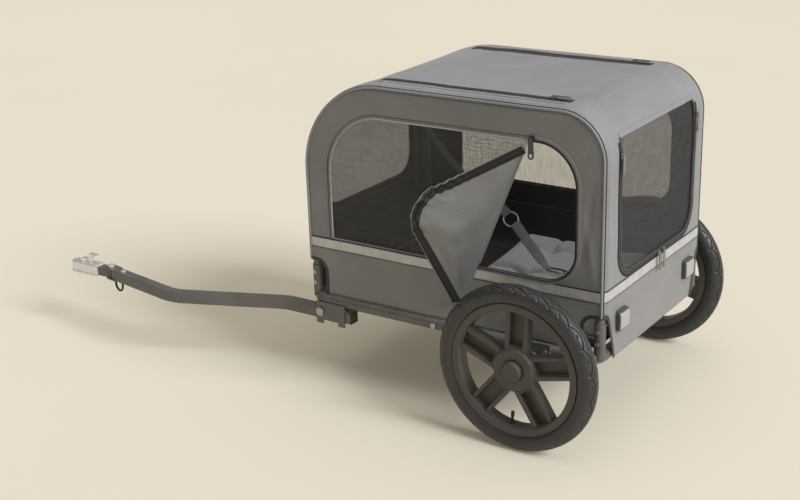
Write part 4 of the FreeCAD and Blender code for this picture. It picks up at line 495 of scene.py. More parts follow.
CABIN = fabric("cabin_cloth", 0.187, 0.227, roughness=0.48, sheen=0.2, folds=0.0016, warmth=-0.03)
# The side walls and their trim use the cabin's cloth drawn darker and warmer: painted shade and painted warm
# light bounced from the floor, as the walls take less of the key light than the roof.
SIDE_CLOTH_PAINTED_SHADE = fabric("side_cloth_painted_shade", 0.155, 0.188, roughness=0.5, sheen=0.2, folds=0.002, warmth=0.005)
SKIRT = fabric("skirt_cloth", 0.18, 0.218, roughness=0.52, sheen=0.2, folds=0.0022, warmth=0.01)
LINING = fabric("black_lining", 0.034, 0.05, sheen=0.08, folds=0.003)
COATED = fabric("coated_cloth", 0.13, 0.156, pitch=0.0009, roughness=0.3, sheen=0.1, folds=0.0025, coat=0.6)
BINDING = fabric("binding", 0.02, 0.03, pitch=0.0008, sheen=0.15)
FLAP_TAPE = fabric("flap_tape", 0.004, 0.006, pitch=0.0008, roughness=0.5, sheen=0.0)
PIPING = fabric("piping_cloth", 0.06, 0.08, pitch=0.0009, roughness=0.5)
PALE_EDGE = fabric("pale_edge", 0.26, 0.33, pitch=0.0009, roughness=0.5)
CUSHION = fabric("cushion_cloth", 0.325, 0.38, pitch=0.0014, roughness=0.58, sheen=0.3, folds=0.002,
                 warmth=-0.02, mapped="Object")
BOARD = fabric("floor_cloth", 0.008, 0.013, pitch=0.002, roughness=0.75, sheen=0.03)
THREAD = fabric("thread", 0.55, 0.65, pitch=0.0005)
SEAM = fabric("seam_thread", 0.26, 0.32, pitch=0.0005, warmth=-0.02)
STRIPE = reflective("reflective_stripe", 0.5)
NET = net_material("dark_net", 0.066, open_share=0.48)
DENSE_NET = net_material("dense_net", 0.036, open_share=0.175)
ZIP = zip_material("zip", 0.012)
PAINT = painted_metal("dark_paint", 0.12, bevel=0.003)
BRIGHT = bare_metal("bright_plate", 0.85, 0.28, 0.7)
ZINC = bare_metal("zinc_plate", 0.42, 0.36)
GUNMETAL = bare_metal("dark_plate", 0.34, 0.26)
DARK_PULL = bare_metal("dark_pull", 0.1, 0.34)
RUBBER = moulded("tyre_rubber", 0.03, 0.42, 0.03, 0.0, 500.0)
# The rim's warm tint is painted warm light bounced from the floor.
RIM = moulded("rim_plastic", 0.054, 0.46, 0.13, 0.004)
BUTTON = moulded("button_plastic", 0.052, 0.5, 0.13, 0.002)
CAP = moulded("cap_plastic", 0.02, 0.55, 0.0, 0.0015)
SHELL = moulded("reflector_shell", 0.06, 0.4, 0.0, 0.002)
LENS = clear_lens("clear_lens")
STRAP = webbing("grey_webbing", 0.2)
LOOP = webbing("black_webbing", 0.014)


# Cabin surfaces

WALL_RUN = TOP - FRONT_R - SKIRT_LOW
FRONT_ARC = FRONT_R * math.pi / 2
ROOF_RUN = REAR - REAR_R - FRONT - FRONT_R
REAR_ARC = REAR_R * math.pi / 2
REAR_RUN = TOP - REAR_R - SKIRT_LOW
ROOF_START = WALL_RUN + FRONT_ARC
ROOF_END = ROOF_START + ROOF_RUN
REAR_START = ROOF_END + REAR_ARC
WRAP_END = REAR_START + REAR_RUN
FRONT_BAR = WALL_RUN + FRONT_R * math.radians(53)
REAR_SEAM = ROOF_END + 30


def profile(s):
    """Seam point and outward direction at a length along the cabin's outline, from the front wall's foot."""
    s = np.asarray(s, float)
    turn_front = np.clip((s - WALL_RUN) / FRONT_R, 0, math.pi / 2)
    turn_rear = np.clip((s - ROOF_END) / REAR_R, 0, math.pi / 2)
    angle = turn_front + turn_rear
    out_x, out_z = -np.cos(angle), np.sin(angle)
    x = FRONT + FRONT_R * (1 - np.cos(turn_front))
    x = x + np.clip(s - ROOF_START, 0, ROOF_RUN) + REAR_R * np.sin(turn_rear)
    z = SKIRT_LOW + np.clip(s, 0, WALL_RUN) + FRONT_R * np.sin(turn_front)
    z = z - REAR_R * (1 - np.cos(turn_rear)) - np.clip(s - REAR_START, 0, REAR_RUN)
    return x, z, out_x, out_z


def front_length(z):
    """Length along the outline at a height on the front."""
    z = np.asarray(z, float)
    bend = TOP - FRONT_R
    arc = WALL_RUN + FRONT_R * np.arcsin(np.clip((z - bend) / FRONT_R, 0, 1))
    return np.where(z < bend, z - SKIRT_LOW, arc)


def rear_length(z):
    z = np.asarray(z, float)
    bend = TOP - REAR_R
    arc = ROOF_END + REAR_R * np.arccos(np.clip((z - bend) / REAR_R, 0, 1))
    return np.where(z < bend, REAR_START + bend - z, arc)


def edge_roll(y):
    past = np.clip(np.abs(y) - (HALF - ROLL_W), 0, ROLL_W)
    return ROLL_H - ROLL_R + np.sqrt(ROLL_R ** 2 - past ** 2)


def wrap_swell(s, y):
    """How the cloth stands off its flat shape: sagging between the roof bars, pulled at the corners."""
    inner = np.clip(1 - (y / 200) ** 2, 0, 1)
    t = np.clip((s - FRONT_BAR) / (ROOF_END - FRONT_BAR), 0, 1)
    swell = -15 * np.sin(math.pi * t) ** 1.3 * inner
    for bar, height in ((FRONT_BAR, 3), (ROOF_END, 4)):
        swell += height * np.exp(-((s - bar) / 30) ** 2) * inner
    free = 1 - smooth_step(np.abs(y), HALF - 34, HALF - 4)
    swell += free * (0.9 * ripple(s, y, 3, 190) + 0.35 * ripple(s, y, 4, 70))
    for side in SIDES.values():
        corner = side * (HALF - 40)
        swell += free * creases(s, y, (
            ((ROOF_END - 150, side * 40), (ROOF_END + 60, corner), 16, 2.6),
            ((ROOF_END - 60, side * 60), (REAR_START + 40, corner), 14, -2.2),
            ((REAR_START - 20, corner), (REAR_START + 260, corner - side * 8), 9, 1.6),
            ((60, corner), (WALL_RUN + 120, corner + side * 10), 11, 2.2),
            ((150, side * 214), (WALL_RUN + 30, side * 206), 10, -1.6)))
    return swell


def wrap(s, y, lift=0.0):
    x, z, out_x, out_z = profile(s)
    off = edge_roll(y) + wrap_swell(s, y) + lift
    return np.stack(np.broadcast_arrays(x + out_x * off, y, z + out_z * off), -1)


# Folds in the side walls, behind and ahead of the door, and then down the skirts
SIDE_FOLDS = [((112, 420), (138, 640), 8, -5.2), ((148, 380), (112, 560), 8, 5.0),
              ((-604, 400), (-598, 560), 9, -1.6)]
SIDE_FOLDS += [((x, 226), (x + 24, 356), 15, height) for x, height in (
    (-520, 1.8), (-430, -1.6), (-352, 2.0), (-250, -1.5), (-120, 1.6), (20, -1.5))]


def side_swell(x, z):
    inner = -rounded_box(x, z, (FRONT, SIDE_SKIRT_LOW), (REAR, TOP), (2, FRONT_R, REAR_R, 2))
    free = smooth_step(inner, 2, 40)
    uneven = 1.1 * ripple(x, z, 11, 170) + 0.3 * ripple(x, z, 12, 60)
    return free * (uneven + creases(x, z, SIDE_FOLDS))


def side_wall(side):
    def surface(x, z, lift=0.0):
        return np.stack(np.broadcast_arrays(x, side * (HALF + side_swell(x, z) + lift), z), -1)
    return surface


WALLS = {name: side_wall(side) for name, side in SIDES.items()}


def on_surface(surface, u, v, lift=0.0):
    """Points and outward normals along a line on a surface."""
    u, v = np.broadcast_arrays(np.asarray(u, float), np.asarray(v, float))
    points = surface(u, v)
    slope_u, slope_v = surface(u + 1, v) - surface(u - 1, v), surface(u, v + 1) - surface(u, v - 1)
    normals = unit(np.cross(slope_u, slope_v))
    outward = unit(surface(u, v, 5.0) - points)
    normals = normals * np.sign((normals * outward).sum(-1, keepdims=True))
    return points + normals * lift, normals


def spaced(low, high, step):
    return np.linspace(low, high, max(2, int(round((high - low) / step)) + 1))


def grown(window, by):
    (u0, v0), (u1, v1), radii = window
    return (u0 - by, v0 - by), (u1 + by, v1 + by), tuple(max(r + by, 0.5) for r in radii)


# Cabin panels

NET_BORDER, NET_DEPTH, SIDE_INSET = 7.0, 3.2, 2.8


def once(name, node):
    """A solid that stands for both sides is replaced by the left piece alone."""
    return [node] if name == "left" else []


def finish_sheet(piece, area, width, length, held, *slot_and_replaced, body="trailer"):
    attach(piece, body, *slot_and_replaced)
    flat = (width * MM, length * MM)
    area = min(area * MM * MM, flat[0] * flat[1])


def build_wrap():
    from_edge = np.array([1.5, 4, 8, 12, 17])
    across = np.unique(np.concatenate([spaced(-HALF, HALF, 6.8), HALF - from_edge, from_edge - HALF]))
    low = PANEL_LOW - SKIRT_LOW
    for name, start, end, window in (("front", low, ROOF_START, FRONT_WINDOW),
                                     ("roof", ROOF_START, REAR_SEAM, None),
                                     ("rear", REAR_SEAM, WRAP_END - low, REAR_WINDOW)):
        removed = None
        if window:
            def removed(s, y):
                return -rounded_box(y, profile(s)[1], *window)
        lengths = spaced(start, end, CLOTH_STEP)
        piece, area = cloth(f"{name}_cloth", lengths, across, wrap, (CABIN, LINING), removed)
        finish_sheet(piece, area, 2 * HALF, end - start, "stretched", "cabin_cloth", f"{name}_panel")


def build_sides():
    low, high = (FRONT + SIDE_INSET, PANEL_LOW), (REAR - SIDE_INSET, TOP - SIDE_INSET)
    radii = (0.5, FRONT_R - SIDE_INSET, REAR_R - SIDE_INSET, 0.5)
    xs, zs = spaced(low[0], high[0], CLOTH_STEP), spaced(low[1], high[1], CLOTH_STEP)
    for name, opening in (("left", DOOR), ("right", SIDE_WINDOW)):
        def removed(x, z):
            return np.maximum(rounded_box(x, z, low, high, radii), -rounded_box(x, z, *opening))
        piece, area = cloth(f"{name}_side_cloth_painted_shade", xs, zs, WALLS[name], (SIDE_CLOTH_PAINTED_SHADE, LINING), removed,
                            outward=name == "left")
        finish_sheet(piece, area, high[0] - low[0], high[1] - low[1], "stretched", "cabin_cloth",
                     f"{name}_side_panel")


def turn_weave(piece):
    """Cut the net the other way, so that two seen one behind the other don't show bands."""
    layer = piece.data.uv_layers[0].data
    flat = np.empty(2 * len(layer))
    layer.foreach_get("uv", flat)
    layer.foreach_set("uv", flat.reshape(-1, 2)[:, ::-1].ravel())


def build_nets():
    """Nets behind the windows. The left one ends at the flap's fold."""
    slope = (FOLD_HIGH[0] - FOLD_LOW[0]) / (FOLD_HIGH[1] - FOLD_LOW[1])
    for name, window, surface, length in (
            ("front", FRONT_WINDOW, wrap, front_length), ("rear", REAR_WINDOW, wrap, rear_length),
            ("right", SIDE_WINDOW, WALLS["right"], None), ("left", DOOR, WALLS["left"], None)):
        edge = grown(window, NET_BORDER)
        (u0, z0), (u1, z1), _ = edge
        us, vs = spaced(u0, u1, NET_STEP), spaced(z0, z1, NET_STEP)
        if length:
            us, vs = spaced(*sorted((length(z0), length(z1))), NET_STEP), us

        def removed(u, v):
            inside = rounded_box(v, profile(u)[1], *edge) if length else rounded_box(u, v, *edge)
            if name != "left":
                return inside
            behind = (u - FOLD_LOW[0] - (v - FOLD_LOW[1]) * slope) / math.hypot(1, slope)
            return np.maximum(inside, behind)
        piece, area = cloth(f"{name}_net", us, vs, lambda u, v: surface(u, v, -NET_DEPTH),
                            (DENSE_NET if length else NET,), removed, thickness=0)
        if name in ("left", "front"):
            turn_weave(piece)
        finish_sheet(piece, area, us[-1] - us[0], vs[-1] - vs[0], "stretched", "net", f"{name}_mesh")


def build_skirts():
    xs, zs = spaced(FRONT, REAR, CLOTH_STEP), spaced(SIDE_SKIRT_LOW, PANEL_LOW, CLOTH_STEP)

    def side_removed(x, z):
        out = rounded_box(x, z, (FRONT, SIDE_SKIRT_LOW), (REAR, PANEL_LOW), (0.5,) * 4)
        ahead = rounded_box(x, z, (FRONT - 60, 100), (FRONT + SIDE_CUT, CUT_TOP), (0, 0, CUT_R, 0))
        behind = rounded_box(x, z, (REAR - SIDE_CUT, 100), (REAR + 60, CUT_TOP), (0, CUT_R, 0, 0))
        return np.maximum(out, np.maximum(-ahead, -behind))

    def end_removed(s, y):
        z = profile(s)[1]
        edge = HALF - END_CUT - CUT_FLARE * np.clip((CUT_TOP - z) / (CUT_TOP - SKIRT_LOW), 0, 1)
        return np.abs(y) - np.where(z > CUT_TOP, HALF, edge)
    for name, surface in WALLS.items():
        piece, area = cloth(f"{name}_skirt_cloth", xs, zs, surface, (SKIRT, LINING), side_removed,
                            outward=name == "left")
        finish_sheet(piece, area, REAR - FRONT, zs[-1] - zs[0], "hung", "cabin_cloth",
                     *once(name, "side_skirts"))
    ys, low = spaced(-HALF, HALF, 6.0), PANEL_LOW - SKIRT_LOW
    for name, lengths in (("front", spaced(0, low, 6.2)), ("rear", spaced(WRAP_END - low, WRAP_END, 6.2))):
        piece, area = cloth(f"{name}_skirt_cloth", lengths, ys, wrap, (SKIRT, LINING), end_removed)
        finish_sheet(piece, area, 2 * HALF, lengths[-1] - lengths[0], "hung", "cabin_cloth", f"{name}_skirt")


build_wrap()
build_sides()
build_nets()
build_skirts()


# Trim on the cabin

PIPING_START, EDGE_SEAM_START = 112.0, 176.0


def trim(name, points, normals, section, material, *slot_and_replaced, closed=False, body="trailer"):
    return attach(sweep(name, points, normals, section, (material,), closed), body, *slot_and_replaced)


def line_trim(name, surface, u, v, section, material, *slot_and_replaced, lift=0.0, closed=False):
    """Trim along a line on a surface."""
    trim(name, *on_surface(surface, u, v, lift), section, material, *slot_and_replaced, closed=closed)


def open_path(corners, radii):
    return rounded_path(corners, radii, closed=False).T


def build_stripe():
    """Reflective stripe round the cabin, with a dark bound seam above it and a thin one below."""
    ys, xs = spaced(-HALF, HALF, 6), spaced(FRONT, REAR, 8)
    for name, low, high, lift, material, *slot_and_replaced in (
            ("stripe", STRIPE_LOW, STRIPE_HIGH, 0.8, STRIPE, "stripe", "reflective_stripe"),
            ("stripe_top_seam", STRIPE_HIGH, STRIPE_HIGH + 4, 1.2, BINDING, "zip_tape"),
            ("stripe_low_seam", STRIPE_LOW - 3, STRIPE_LOW, 1.0, PIPING, "zip_tape")):
        z = (low + high) / 2
        runs = (on_surface(WALLS["left"], xs, z), on_surface(wrap, rear_length(z), ys),
                on_surface(WALLS["right"], xs[::-1], z), on_surface(wrap, front_length(z), ys[::-1]))
        points, normals = [np.vstack([run[k][1:] for run in runs] + [runs[0][k][1:2]]) for k in (0, 1)]
        trim(name, points, normals, flat_section(high - low, lift, 0.3), material, *slot_and_replaced,
             closed=True)


def build_piping():
    lengths = spaced(PIPING_START, WRAP_END - PIPING_START, 7)
    inner = lengths[lengths > EDGE_SEAM_START]
    for name, side in SIDES.items():
        for kind, run, inset, section, material, *replaced in (
                ("piping", lengths, 0.5, round_section(3.2, 10, 0.6), CABIN, *once(name, "edge_piping")),
                ("welt", lengths, 4.6, round_section(1.6, 8, 1.2), BINDING),
                ("seam", inner, 14, round_section(0.6, 6, 0.1), SEAM)):
            line_trim(f"{name}_edge_{kind}", wrap, run, side * (HALF - inset), section, material, "piping",
                      *replaced)


def build_cross_seams():
    ys = spaced(-HALF + 6, HALF - 6, 7)
    for name, s in (("front_roof_seam", ROOF_START), ("rear_roof_seam", REAR_SEAM)):
        line_trim(name, wrap, s, ys, flat_section(9, 0.9), CABIN, "cabin_cloth")
    line_trim("rear_roof_thread", wrap, REAR_SEAM + 3, ys, round_section(0.6, 6, 1.0), SEAM, "piping")
    corner = np.linspace(0, 1, 12)
    for name, surface in WALLS.items():
        line_trim(f"{name}_corner_seam", surface, 92 + 52 * corner, 675 + 43 * corner,
                  round_section(0.7, 6, 0.2), SEAM, "piping")
    (y0, _), (y1, z1), _ = REAR_WINDOW
    line_trim("rear_window_hem", wrap, rear_length(z1 + 4), spaced(y0, y1, 8), flat_section(12, 1.6), CABIN,
              "cabin_cloth")


def build_cabin_zips():
    tape, out = zip_section(TAPE_W, 1.2, 5.0, 2.2), TAPE_W / 2
    lengths = ROOF_START + spaced(ROOF_ZIP_FRONT, ROOF_ZIP_REAR, 8) - (FRONT + FRONT_R)
    for name, side in SIDES.items():
        line_trim(f"{name}_roof_zip_tape", wrap, lengths, side * ROOF_ZIP_Y, tape, ZIP, "zip_tape",
                  *once(name, "roof_zip_tapes"))
        for edge, width, material in ((-11, 7, BINDING), (11, 7, BINDING), (21, 12, CABIN)):
            line_trim(f"{name}_roof_zip_strip_{edge + 11}", wrap, lengths, side * (ROOF_ZIP_Y + edge),
                      flat_section(width, 1.5), material, "zip_tape")
    (y0, z0), (y1, z1), _ = REAR_WINDOW
    y, z = open_path([(y0 - out, z1 - 8), (y0 - out, z0 - out), (y1 + out, z0 - out), (y1 + out, z1 - 8)],
                     [0, 67, 67, 0])
    line_trim("rear_window_zip_tape", wrap, rear_length(z), y, tape, ZIP, "zip_tape", "rear_zip_tape")
    y, z = open_path([(y0, z1), (y0, z0), (y1, z0), (y1, z1)], [0, 60, 60, 0])
    line_trim("rear_window_binding", wrap, rear_length(z), y, flat_section(5, 2.4), BINDING, "zip_tape")


def build_door_edges():
    """Zip round the rear of the door, and a pale and a dark edge round its front."""
    (x0, z0), (x1, z1), (_, front_r, high_r, low_r) = DOOR
    for name, above, below, lift, section, material, *slot_and_replaced in (
            ("door_zip_cover", TAPE_W / 2, 3, 0.4, flat_section(9, 2.0, 0.7), SIDE_CLOTH_PAINTED_SHADE, "zip_tape"),
            ("door_opening_zip_tape", 2, 1, 0.0, zip_section(10, 1.4, 5, 2.8), ZIP, "zip_tape",
             "door_zip_tape")):
        corners = [(DOOR_ZIP_TOP, z1 + above), (x1 + above, z1 + above), (x1 + above, z0 - below),
                   (FOLD_LOW[0], z0 - below)]
        path = open_path(corners, [0, high_r + above, low_r + below, 0])
        line_trim(name, WALLS["left"], *path, section, material, *slot_and_replaced, lift=lift)
    for name, out, foot, section, material in (
            ("door_pale_edge", 0, z0 + 2, round_section(2.0, 8, 0.6), PALE_EDGE),
            ("door_dark_edge", 9, z0, round_section(0.8, 6, 0.2), BINDING)):
        corners = [(x0 - out, foot), (x0 - out, z1 + out), (DOOR_EDGE_TOP, z1 + out)]
        path = open_path(corners, [0, front_r + out, 0])
        line_trim(name, WALLS["left"], *path, section, material, "piping")


def build_window_bindings():
    for name, window in (("right", SIDE_WINDOW), ("front", FRONT_WINDOW)):
        (u0, z0), (u1, z1), radii = window
        u, z = rounded_path([(u0, z0), (u0, z1), (u1, z1), (u1, z0)], radii).T
        place = (WALLS["right"], u, z) if name == "right" else (wrap, front_length(z), u)
        line_trim(f"{name}_window_binding", *place, flat_section(9, 1.6), BINDING, "zip_tape", closed=True)


def build_cutout_bindings():
    tape = flat_section(9, 1.8)
    for name, side in SIDES.items():
        for end, edge, inner, length in (("front", FRONT, FRONT + SIDE_CUT, front_length),
                                         ("rear", REAR, REAR - SIDE_CUT, rear_length)):
            path = open_path([(inner, SIDE_SKIRT_LOW), (inner, CUT_TOP), (edge, CUT_TOP)], [0, CUT_R, 0])
            line_trim(f"{name}_{end}_cutout_side_binding", WALLS[name], *path, tape, BINDING, "zip_tape")
            cut = HALF - END_CUT
            y, z = open_path([(cut - CUT_FLARE, SKIRT_LOW), (cut, CUT_TOP), (HALF, CUT_TOP)], [0, 14, 0])
            line_trim(f"{name}_{end}_cutout_end_binding", wrap, length(z), side * y, tape, BINDING,
                      "zip_tape")


def build_floor_stitches():
    """White dashes sewn along the front edge of the floor cloth."""
    length, pitch, x, z = 5.0, 9.0, -611, 240.9
    points, faces = [], []
    section = np.array(round_section(0.8, 6))
    for y in np.arange(-225, 226, pitch):
        start = len(points)
        for step, share in ((0, 0.5), (0.2, 1), (0.8, 1), (1, 0.5)):
            points += [(x + a * share, y + length * step, z + b * share) for a, b in section]
        faces += [tuple(f + start) for f in grid_faces(4, 6, wrap_columns=True)]
        faces += [tuple(range(start + 5, start - 1, -1)), tuple(range(start + 18, start + 24))]
    attach(new_object("floor_stitches", points, faces, None, (THREAD,)), "trailer", "piping")


build_stripe()
build_piping()
build_cross_seams()
build_cabin_zips()
build_door_edges()
build_window_bindings()
build_cutout_bindings()
build_floor_stitches()


# Door flap

FOLD_FOOT = np.array([FOLD_LOW[0], -HALF - 0.3, FOLD_LOW[1]])
FOLD_AXIS = unit(np.array([FOLD_HIGH[0] - FOLD_LOW[0], 0.0, FOLD_HIGH[1] - FOLD_LOW[1]]))
FLAP_OUT = np.array([FOLD_AXIS[2], 0, -FOLD_AXIS[0]]) * math.cos(math.radians(FOLD_OPEN))
FLAP_OUT = FLAP_OUT + np.array([0, -1, 0]) * math.sin(math.radians(FOLD_OPEN))
FLAP_FACE = np.cross(FLAP_OUT, FOLD_AXIS) * np.sign(np.cross(FOLD_AXIS, FLAP_OUT)[1])
# Outline of the hanging flap: length along the fold from its foot, and distance out from it
FLAP_TOP, FLAP_CORNER, FLAP_TIP = (309.0, 2.0), (96.0, 222.0), (-117.0, 19.0)
FLAP_EDGE = rounded_path([FLAP_TOP, FLAP_CORNER, FLAP_TIP], [0, 80, 0], step=5, closed=False)
FLAP_STEPS = len(FLAP_EDGE)
FLAP_SHUT_GAP = 9.0
# A ridge from the corner, a hollow above it, small folds round the corner, and a hollow towards the tip
FLAP_FOLDS = (((98, 210), (60, 60), 30, 11.0), ((240, 40), (130, 130), 16, -4.0),
              ((112, 196), (150, 110), 8, 5.0), ((126, 190), (176, 120), 7, -4.0),
              ((84, 200), (60, 140), 8, 4.5), ((72, 196), (40, 150), 7, -4.0),
              ((30, 120), (-100, 12), 16, -6.0))


def flap_flat(u, v):
    """Flat place on the flap: u runs 0 to 1 along its zipped edge from the top, v from its fold to there."""
    place = np.clip(np.asarray(u, float), 0, 1) * (FLAP_STEPS - 1)
    edge_a = np.interp(place, np.arange(FLAP_STEPS), FLAP_EDGE[:, 0])
    edge_w = np.interp(place, np.arange(FLAP_STEPS), FLAP_EDGE[:, 1])
    fold_a = FLAP_TOP[0] + (FLAP_TIP[0] - FLAP_TOP[0]) * u
    return fold_a + (edge_a - fold_a) * v, edge_w * v, place


def flap_surface(u, v):
    """Unzipped flap, folded out and hanging, with its folds and with gathers at its zip."""
    a, w, place = flap_flat(u, v)
    middle = np.sin(math.pi * np.clip(u, 0, 1)) * np.sin(math.pi * np.clip(v, 0, 1) ** 0.8)
    gathered = smooth_step(v, 0.7, 0.95) * np.exp(-((u - 0.42) / 0.16) ** 2)
    swell = 12 * middle + 2.0 * np.sin(place * 2 * math.pi / 4.6) * gathered
    swell += 1.5 * ripple(a, w, 21, 90) * middle + creases(a, w, FLAP_FOLDS)
    flat = FOLD_FOOT + a[..., None] * FOLD_AXIS + w[..., None] * FLAP_OUT
    return flat + swell[..., None] * FLAP_FACE


def flap_line(v, lift, out=0.0):
    us = np.linspace(0, 1, FLAP_STEPS)
    points = flap_surface(us, np.full_like(us, v))
    inward = unit(flap_surface(us, np.full_like(us, v - 0.03)) - points)
    along = unit(np.gradient(points, axis=0))
    normals = unit(np.cross(along, inward))
    normals = normals * np.sign(normals @ FLAP_FACE)[:, None]
    outward = np.cross(along, normals)
    outward = outward * -np.sign((outward * inward).sum(axis=1))[:, None]
    return points + normals * lift + outward * out, normals


def build_flap():
    us, vs = np.linspace(0, 1, FLAP_STEPS), np.linspace(0, 1, 52)
    piece, _ = cloth("door_flap_cloth", us, vs, flap_surface, (COATED, CABIN), None, outward=False)
    ring = np.vstack([FLAP_EDGE, FLAP_EDGE[:1]])
    area = abs((ring[:-1, 0] * ring[1:, 1] - ring[1:, 0] * ring[:-1, 1]).sum()) / 2
    finish_sheet(piece, area, FLAP_TOP[0] - FLAP_TIP[0], FLAP_CORNER[1], "hung", "cabin_cloth", "door_flap",
                 body="flap")
    fold = FOLD_FOOT + np.linspace(0, FLAP_TOP[0], 60)[:, None] * FOLD_AXIS
    trims = (
        ("flap_binding", *flap_line(0.955, -1.2), flat_section(20, 3.6, 1.4), FLAP_TAPE, "zip_tape"),
        ("flap_zip_coil", *flap_line(0.94, 0.6), zip_section(9, 3.4, 5, 4.4), FLAP_TAPE, "zip_tape"),
        ("flap_edge_bead", *flap_line(0.955, 0.4, 10.4), round_section(1.6, 8), SIDE_CLOTH_PAINTED_SHADE, "cabin_cloth"),
        ("flap_fold_roll", fold, np.tile(FLAP_FACE, (60, 1)), round_section(2.6, 10, -0.4), COATED,
         "cabin_cloth"))
    for piece in [piece] + [trim(name, *rest, body="flap") for name, *rest in trims]:
        # Each piece gets a mesh of its own; the place of the shut flap just outside the wall is worked out
        # but not used
        to_scene(FOLD_FOOT - FLAP_SHUT_GAP * FLAP_FACE)
        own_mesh(piece)


build_flap()


# Cushion

CUSHION_REAR, CUSHION_L, CUSHION_HALF = 130.0, 440.0, 243.0
CUSHION_LOW, CUSHION_WAIST = 240.8, 9.0
CUSHION_MIDDLE = CUSHION_REAR - CUSHION_L / 2
TUFT_XS, TUFT_YS = (-180.0, 0.0), (-135.0, 0.0, 135.0)
CUSHION_EDGE, CUSHION_RISE = 12.0, 14.0
VOXEL, PUFF_CAP, PUFF_FRAMES = 5.5, 9.0, 20


def seam_distance(x, y):
    """Distance to the nearest sewn line across the cushion, and to the nearest tuft."""
    to_x = np.abs(np.subtract.outer(x, TUFT_XS))
    to_y = np.abs(np.subtract.outer(y, TUFT_YS))
    line = np.minimum(to_x.min(-1), to_y.min(-1))
    return line, np.hypot(to_x.min(-1), to_y.min(-1))


def cushion_outline(a, b):
    """Place on the cushion from -1 to 1 each way, with sides pulled in between the corners."""
    x = a * (CUSHION_L / 2 - CUSHION_WAIST * (1 - b ** 2) * np.abs(a) ** 3) + CUSHION_MIDDLE
    y = b * (CUSHION_HALF - CUSHION_WAIST * (1 - a ** 2) * np.abs(b) ** 3)
    return x, y


def cushion_blank():
    """Sewn cover before it is filled: crowned, with grooves at its seams and pulled-in tufts."""
    count = 97
    steps = np.linspace(-0.985, 0.985, count)
    a, b = np.meshgrid(steps, steps, indexing="ij")
    x, y = cushion_outline(a, b)
    rim = np.minimum(1, 6 * (1.0 - np.maximum(np.abs(a), np.abs(b)))) ** 0.5
    line, tuft = seam_distance(x, y)
    star = np.cos(4 * np.arctan2(y % 135.0 - 67.5, x % 180.0 - 90.0) + 0.6)
    crown = 41 + 3 * (1 - a ** 2) * (1 - b ** 2) + 20 * smooth_step(y, 20, 200)
    groove = 8 * np.exp(-(line / 8) ** 2) + 18 * np.exp(-(tuft / 24) ** 2)
    groove += 3.2 * star * np.exp(-((tuft - 34) / 20) ** 2)
    top = CUSHION_EDGE + (crown - groove - CUSHION_EDGE) * rim
    upper = np.stack([x, y, CUSHION_LOW + top], -1).reshape(-1, 3)
    lower = np.stack([x, y, CUSHION_LOW + CUSHION_EDGE * (1 - rim)], -1).reshape(-1, 3)
    faces = grid_faces(count, count)
    border = np.zeros((count, count), bool)
    border[0] = border[-1] = border[:, 0] = border[:, -1] = True
    index = np.arange(count * count) + count * count
    index[border.ravel()] = np.arange(count * count)[border.ravel()]
    every = np.vstack([faces, index[faces][:, ::-1]])
    used, order = np.unique(every, return_inverse=True)
    points = np.vstack([upper, lower])[used]
    return new_object("quilted_cushion", points, order.reshape(every.shape), None, (CUSHION,))


def vertex_places(mesh):
    flat = np.empty(3 * len(mesh.vertices))
    mesh.vertices.foreach_get("co", flat)
    return flat.reshape(-1, 3)


def puff(piece):
    """Fill the cover by cloth simulation, held at its tufts, seams and underside."""
    remesh = piece.modifiers.new("remesh", "REMESH")
    remesh.mode = "VOXEL"
    remesh.voxel_size = VOXEL * MM
    remesh.use_smooth_shade = True
    blank = bpy.data.meshes.new_from_object(piece.evaluated_get(bpy.context.evaluated_depsgraph_get()))
    piece.modifiers.remove(remesh)
    piece.data = blank
    start = vertex_places(blank)
    local = from_scene(start)
    line, tuft = seam_distance(local[:, 0], local[:, 1])
    upper = local[:, 2] > CUSHION_LOW + 20
    held = (local[:, 2] < CUSHION_LOW + 4) | (upper & ((tuft < 10) | (line < 3.5)))
    group = piece.vertex_groups.new(name="sewn")
    group.add([int(i) for i in np.flatnonzero(held)], 1.0, "REPLACE")
    modifier = piece.modifiers.new("fill", "CLOTH")
    settings = modifier.settings
    settings.vertex_group_mass = "sewn"
    settings.use_pressure = True
    settings.uniform_pressure_force = 4.0
    settings.effector_weights.gravity = 0.0
    settings.quality = 5
    settings.tension_stiffness = settings.compression_stiffness = 12.0
    settings.bending_stiffness = 0.4
    scene = bpy.context.scene
    modifier.point_cache.frame_start = 1
    modifier.point_cache.frame_end = PUFF_FRAMES
    for step in range(1, PUFF_FRAMES + 1):
        scene.frame_set(step)
    filled = piece.evaluated_get(bpy.context.evaluated_depsgraph_get()).to_mesh()
    move = vertex_places(filled) - start
    piece.modifiers.remove(modifier)
    scene.frame_set(1)
    far = np.linalg.norm(move, axis=1, keepdims=True)
    places = start + move * np.minimum(1, PUFF_CAP * MM / np.maximum(far, 1e-9))
    low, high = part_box("cushion")
    places = np.clip(places, [low.x, low.y, low.z], [high.x, high.y, high.z + CUSHION_RISE * MM])
    blank.vertices.foreach_set("co", places.ravel())
    blank.update()


def build_cushion():
    piece = cushion_blank()
    puff(piece)
    smooth = piece.modifiers.new("smooth", "SUBSURF")
    smooth.levels = smooth.render_levels = 1
    attach(piece, "trailer", "cushion", "cushion")
    t = np.linspace(-1, 1, 61)[:-1]
    one = np.ones_like(t)
    x, y = cushion_outline(np.concatenate([-one, t, one, -t]), np.concatenate([t, one, -t, -one]))
    line = np.stack([x, y, np.full_like(x, CUSHION_LOW + CUSHION_EDGE)], -1)
    line = np.vstack([line, line[:1]])
    out = unit(line - np.array([CUSHION_MIDDLE, 0, CUSHION_LOW + CUSHION_EDGE]))
    trim("cushion_welt", line, out, round_section(2.8, 8, -3.4), CUSHION, "cushion", closed=True)


build_cushion()


# Tether and safety strap

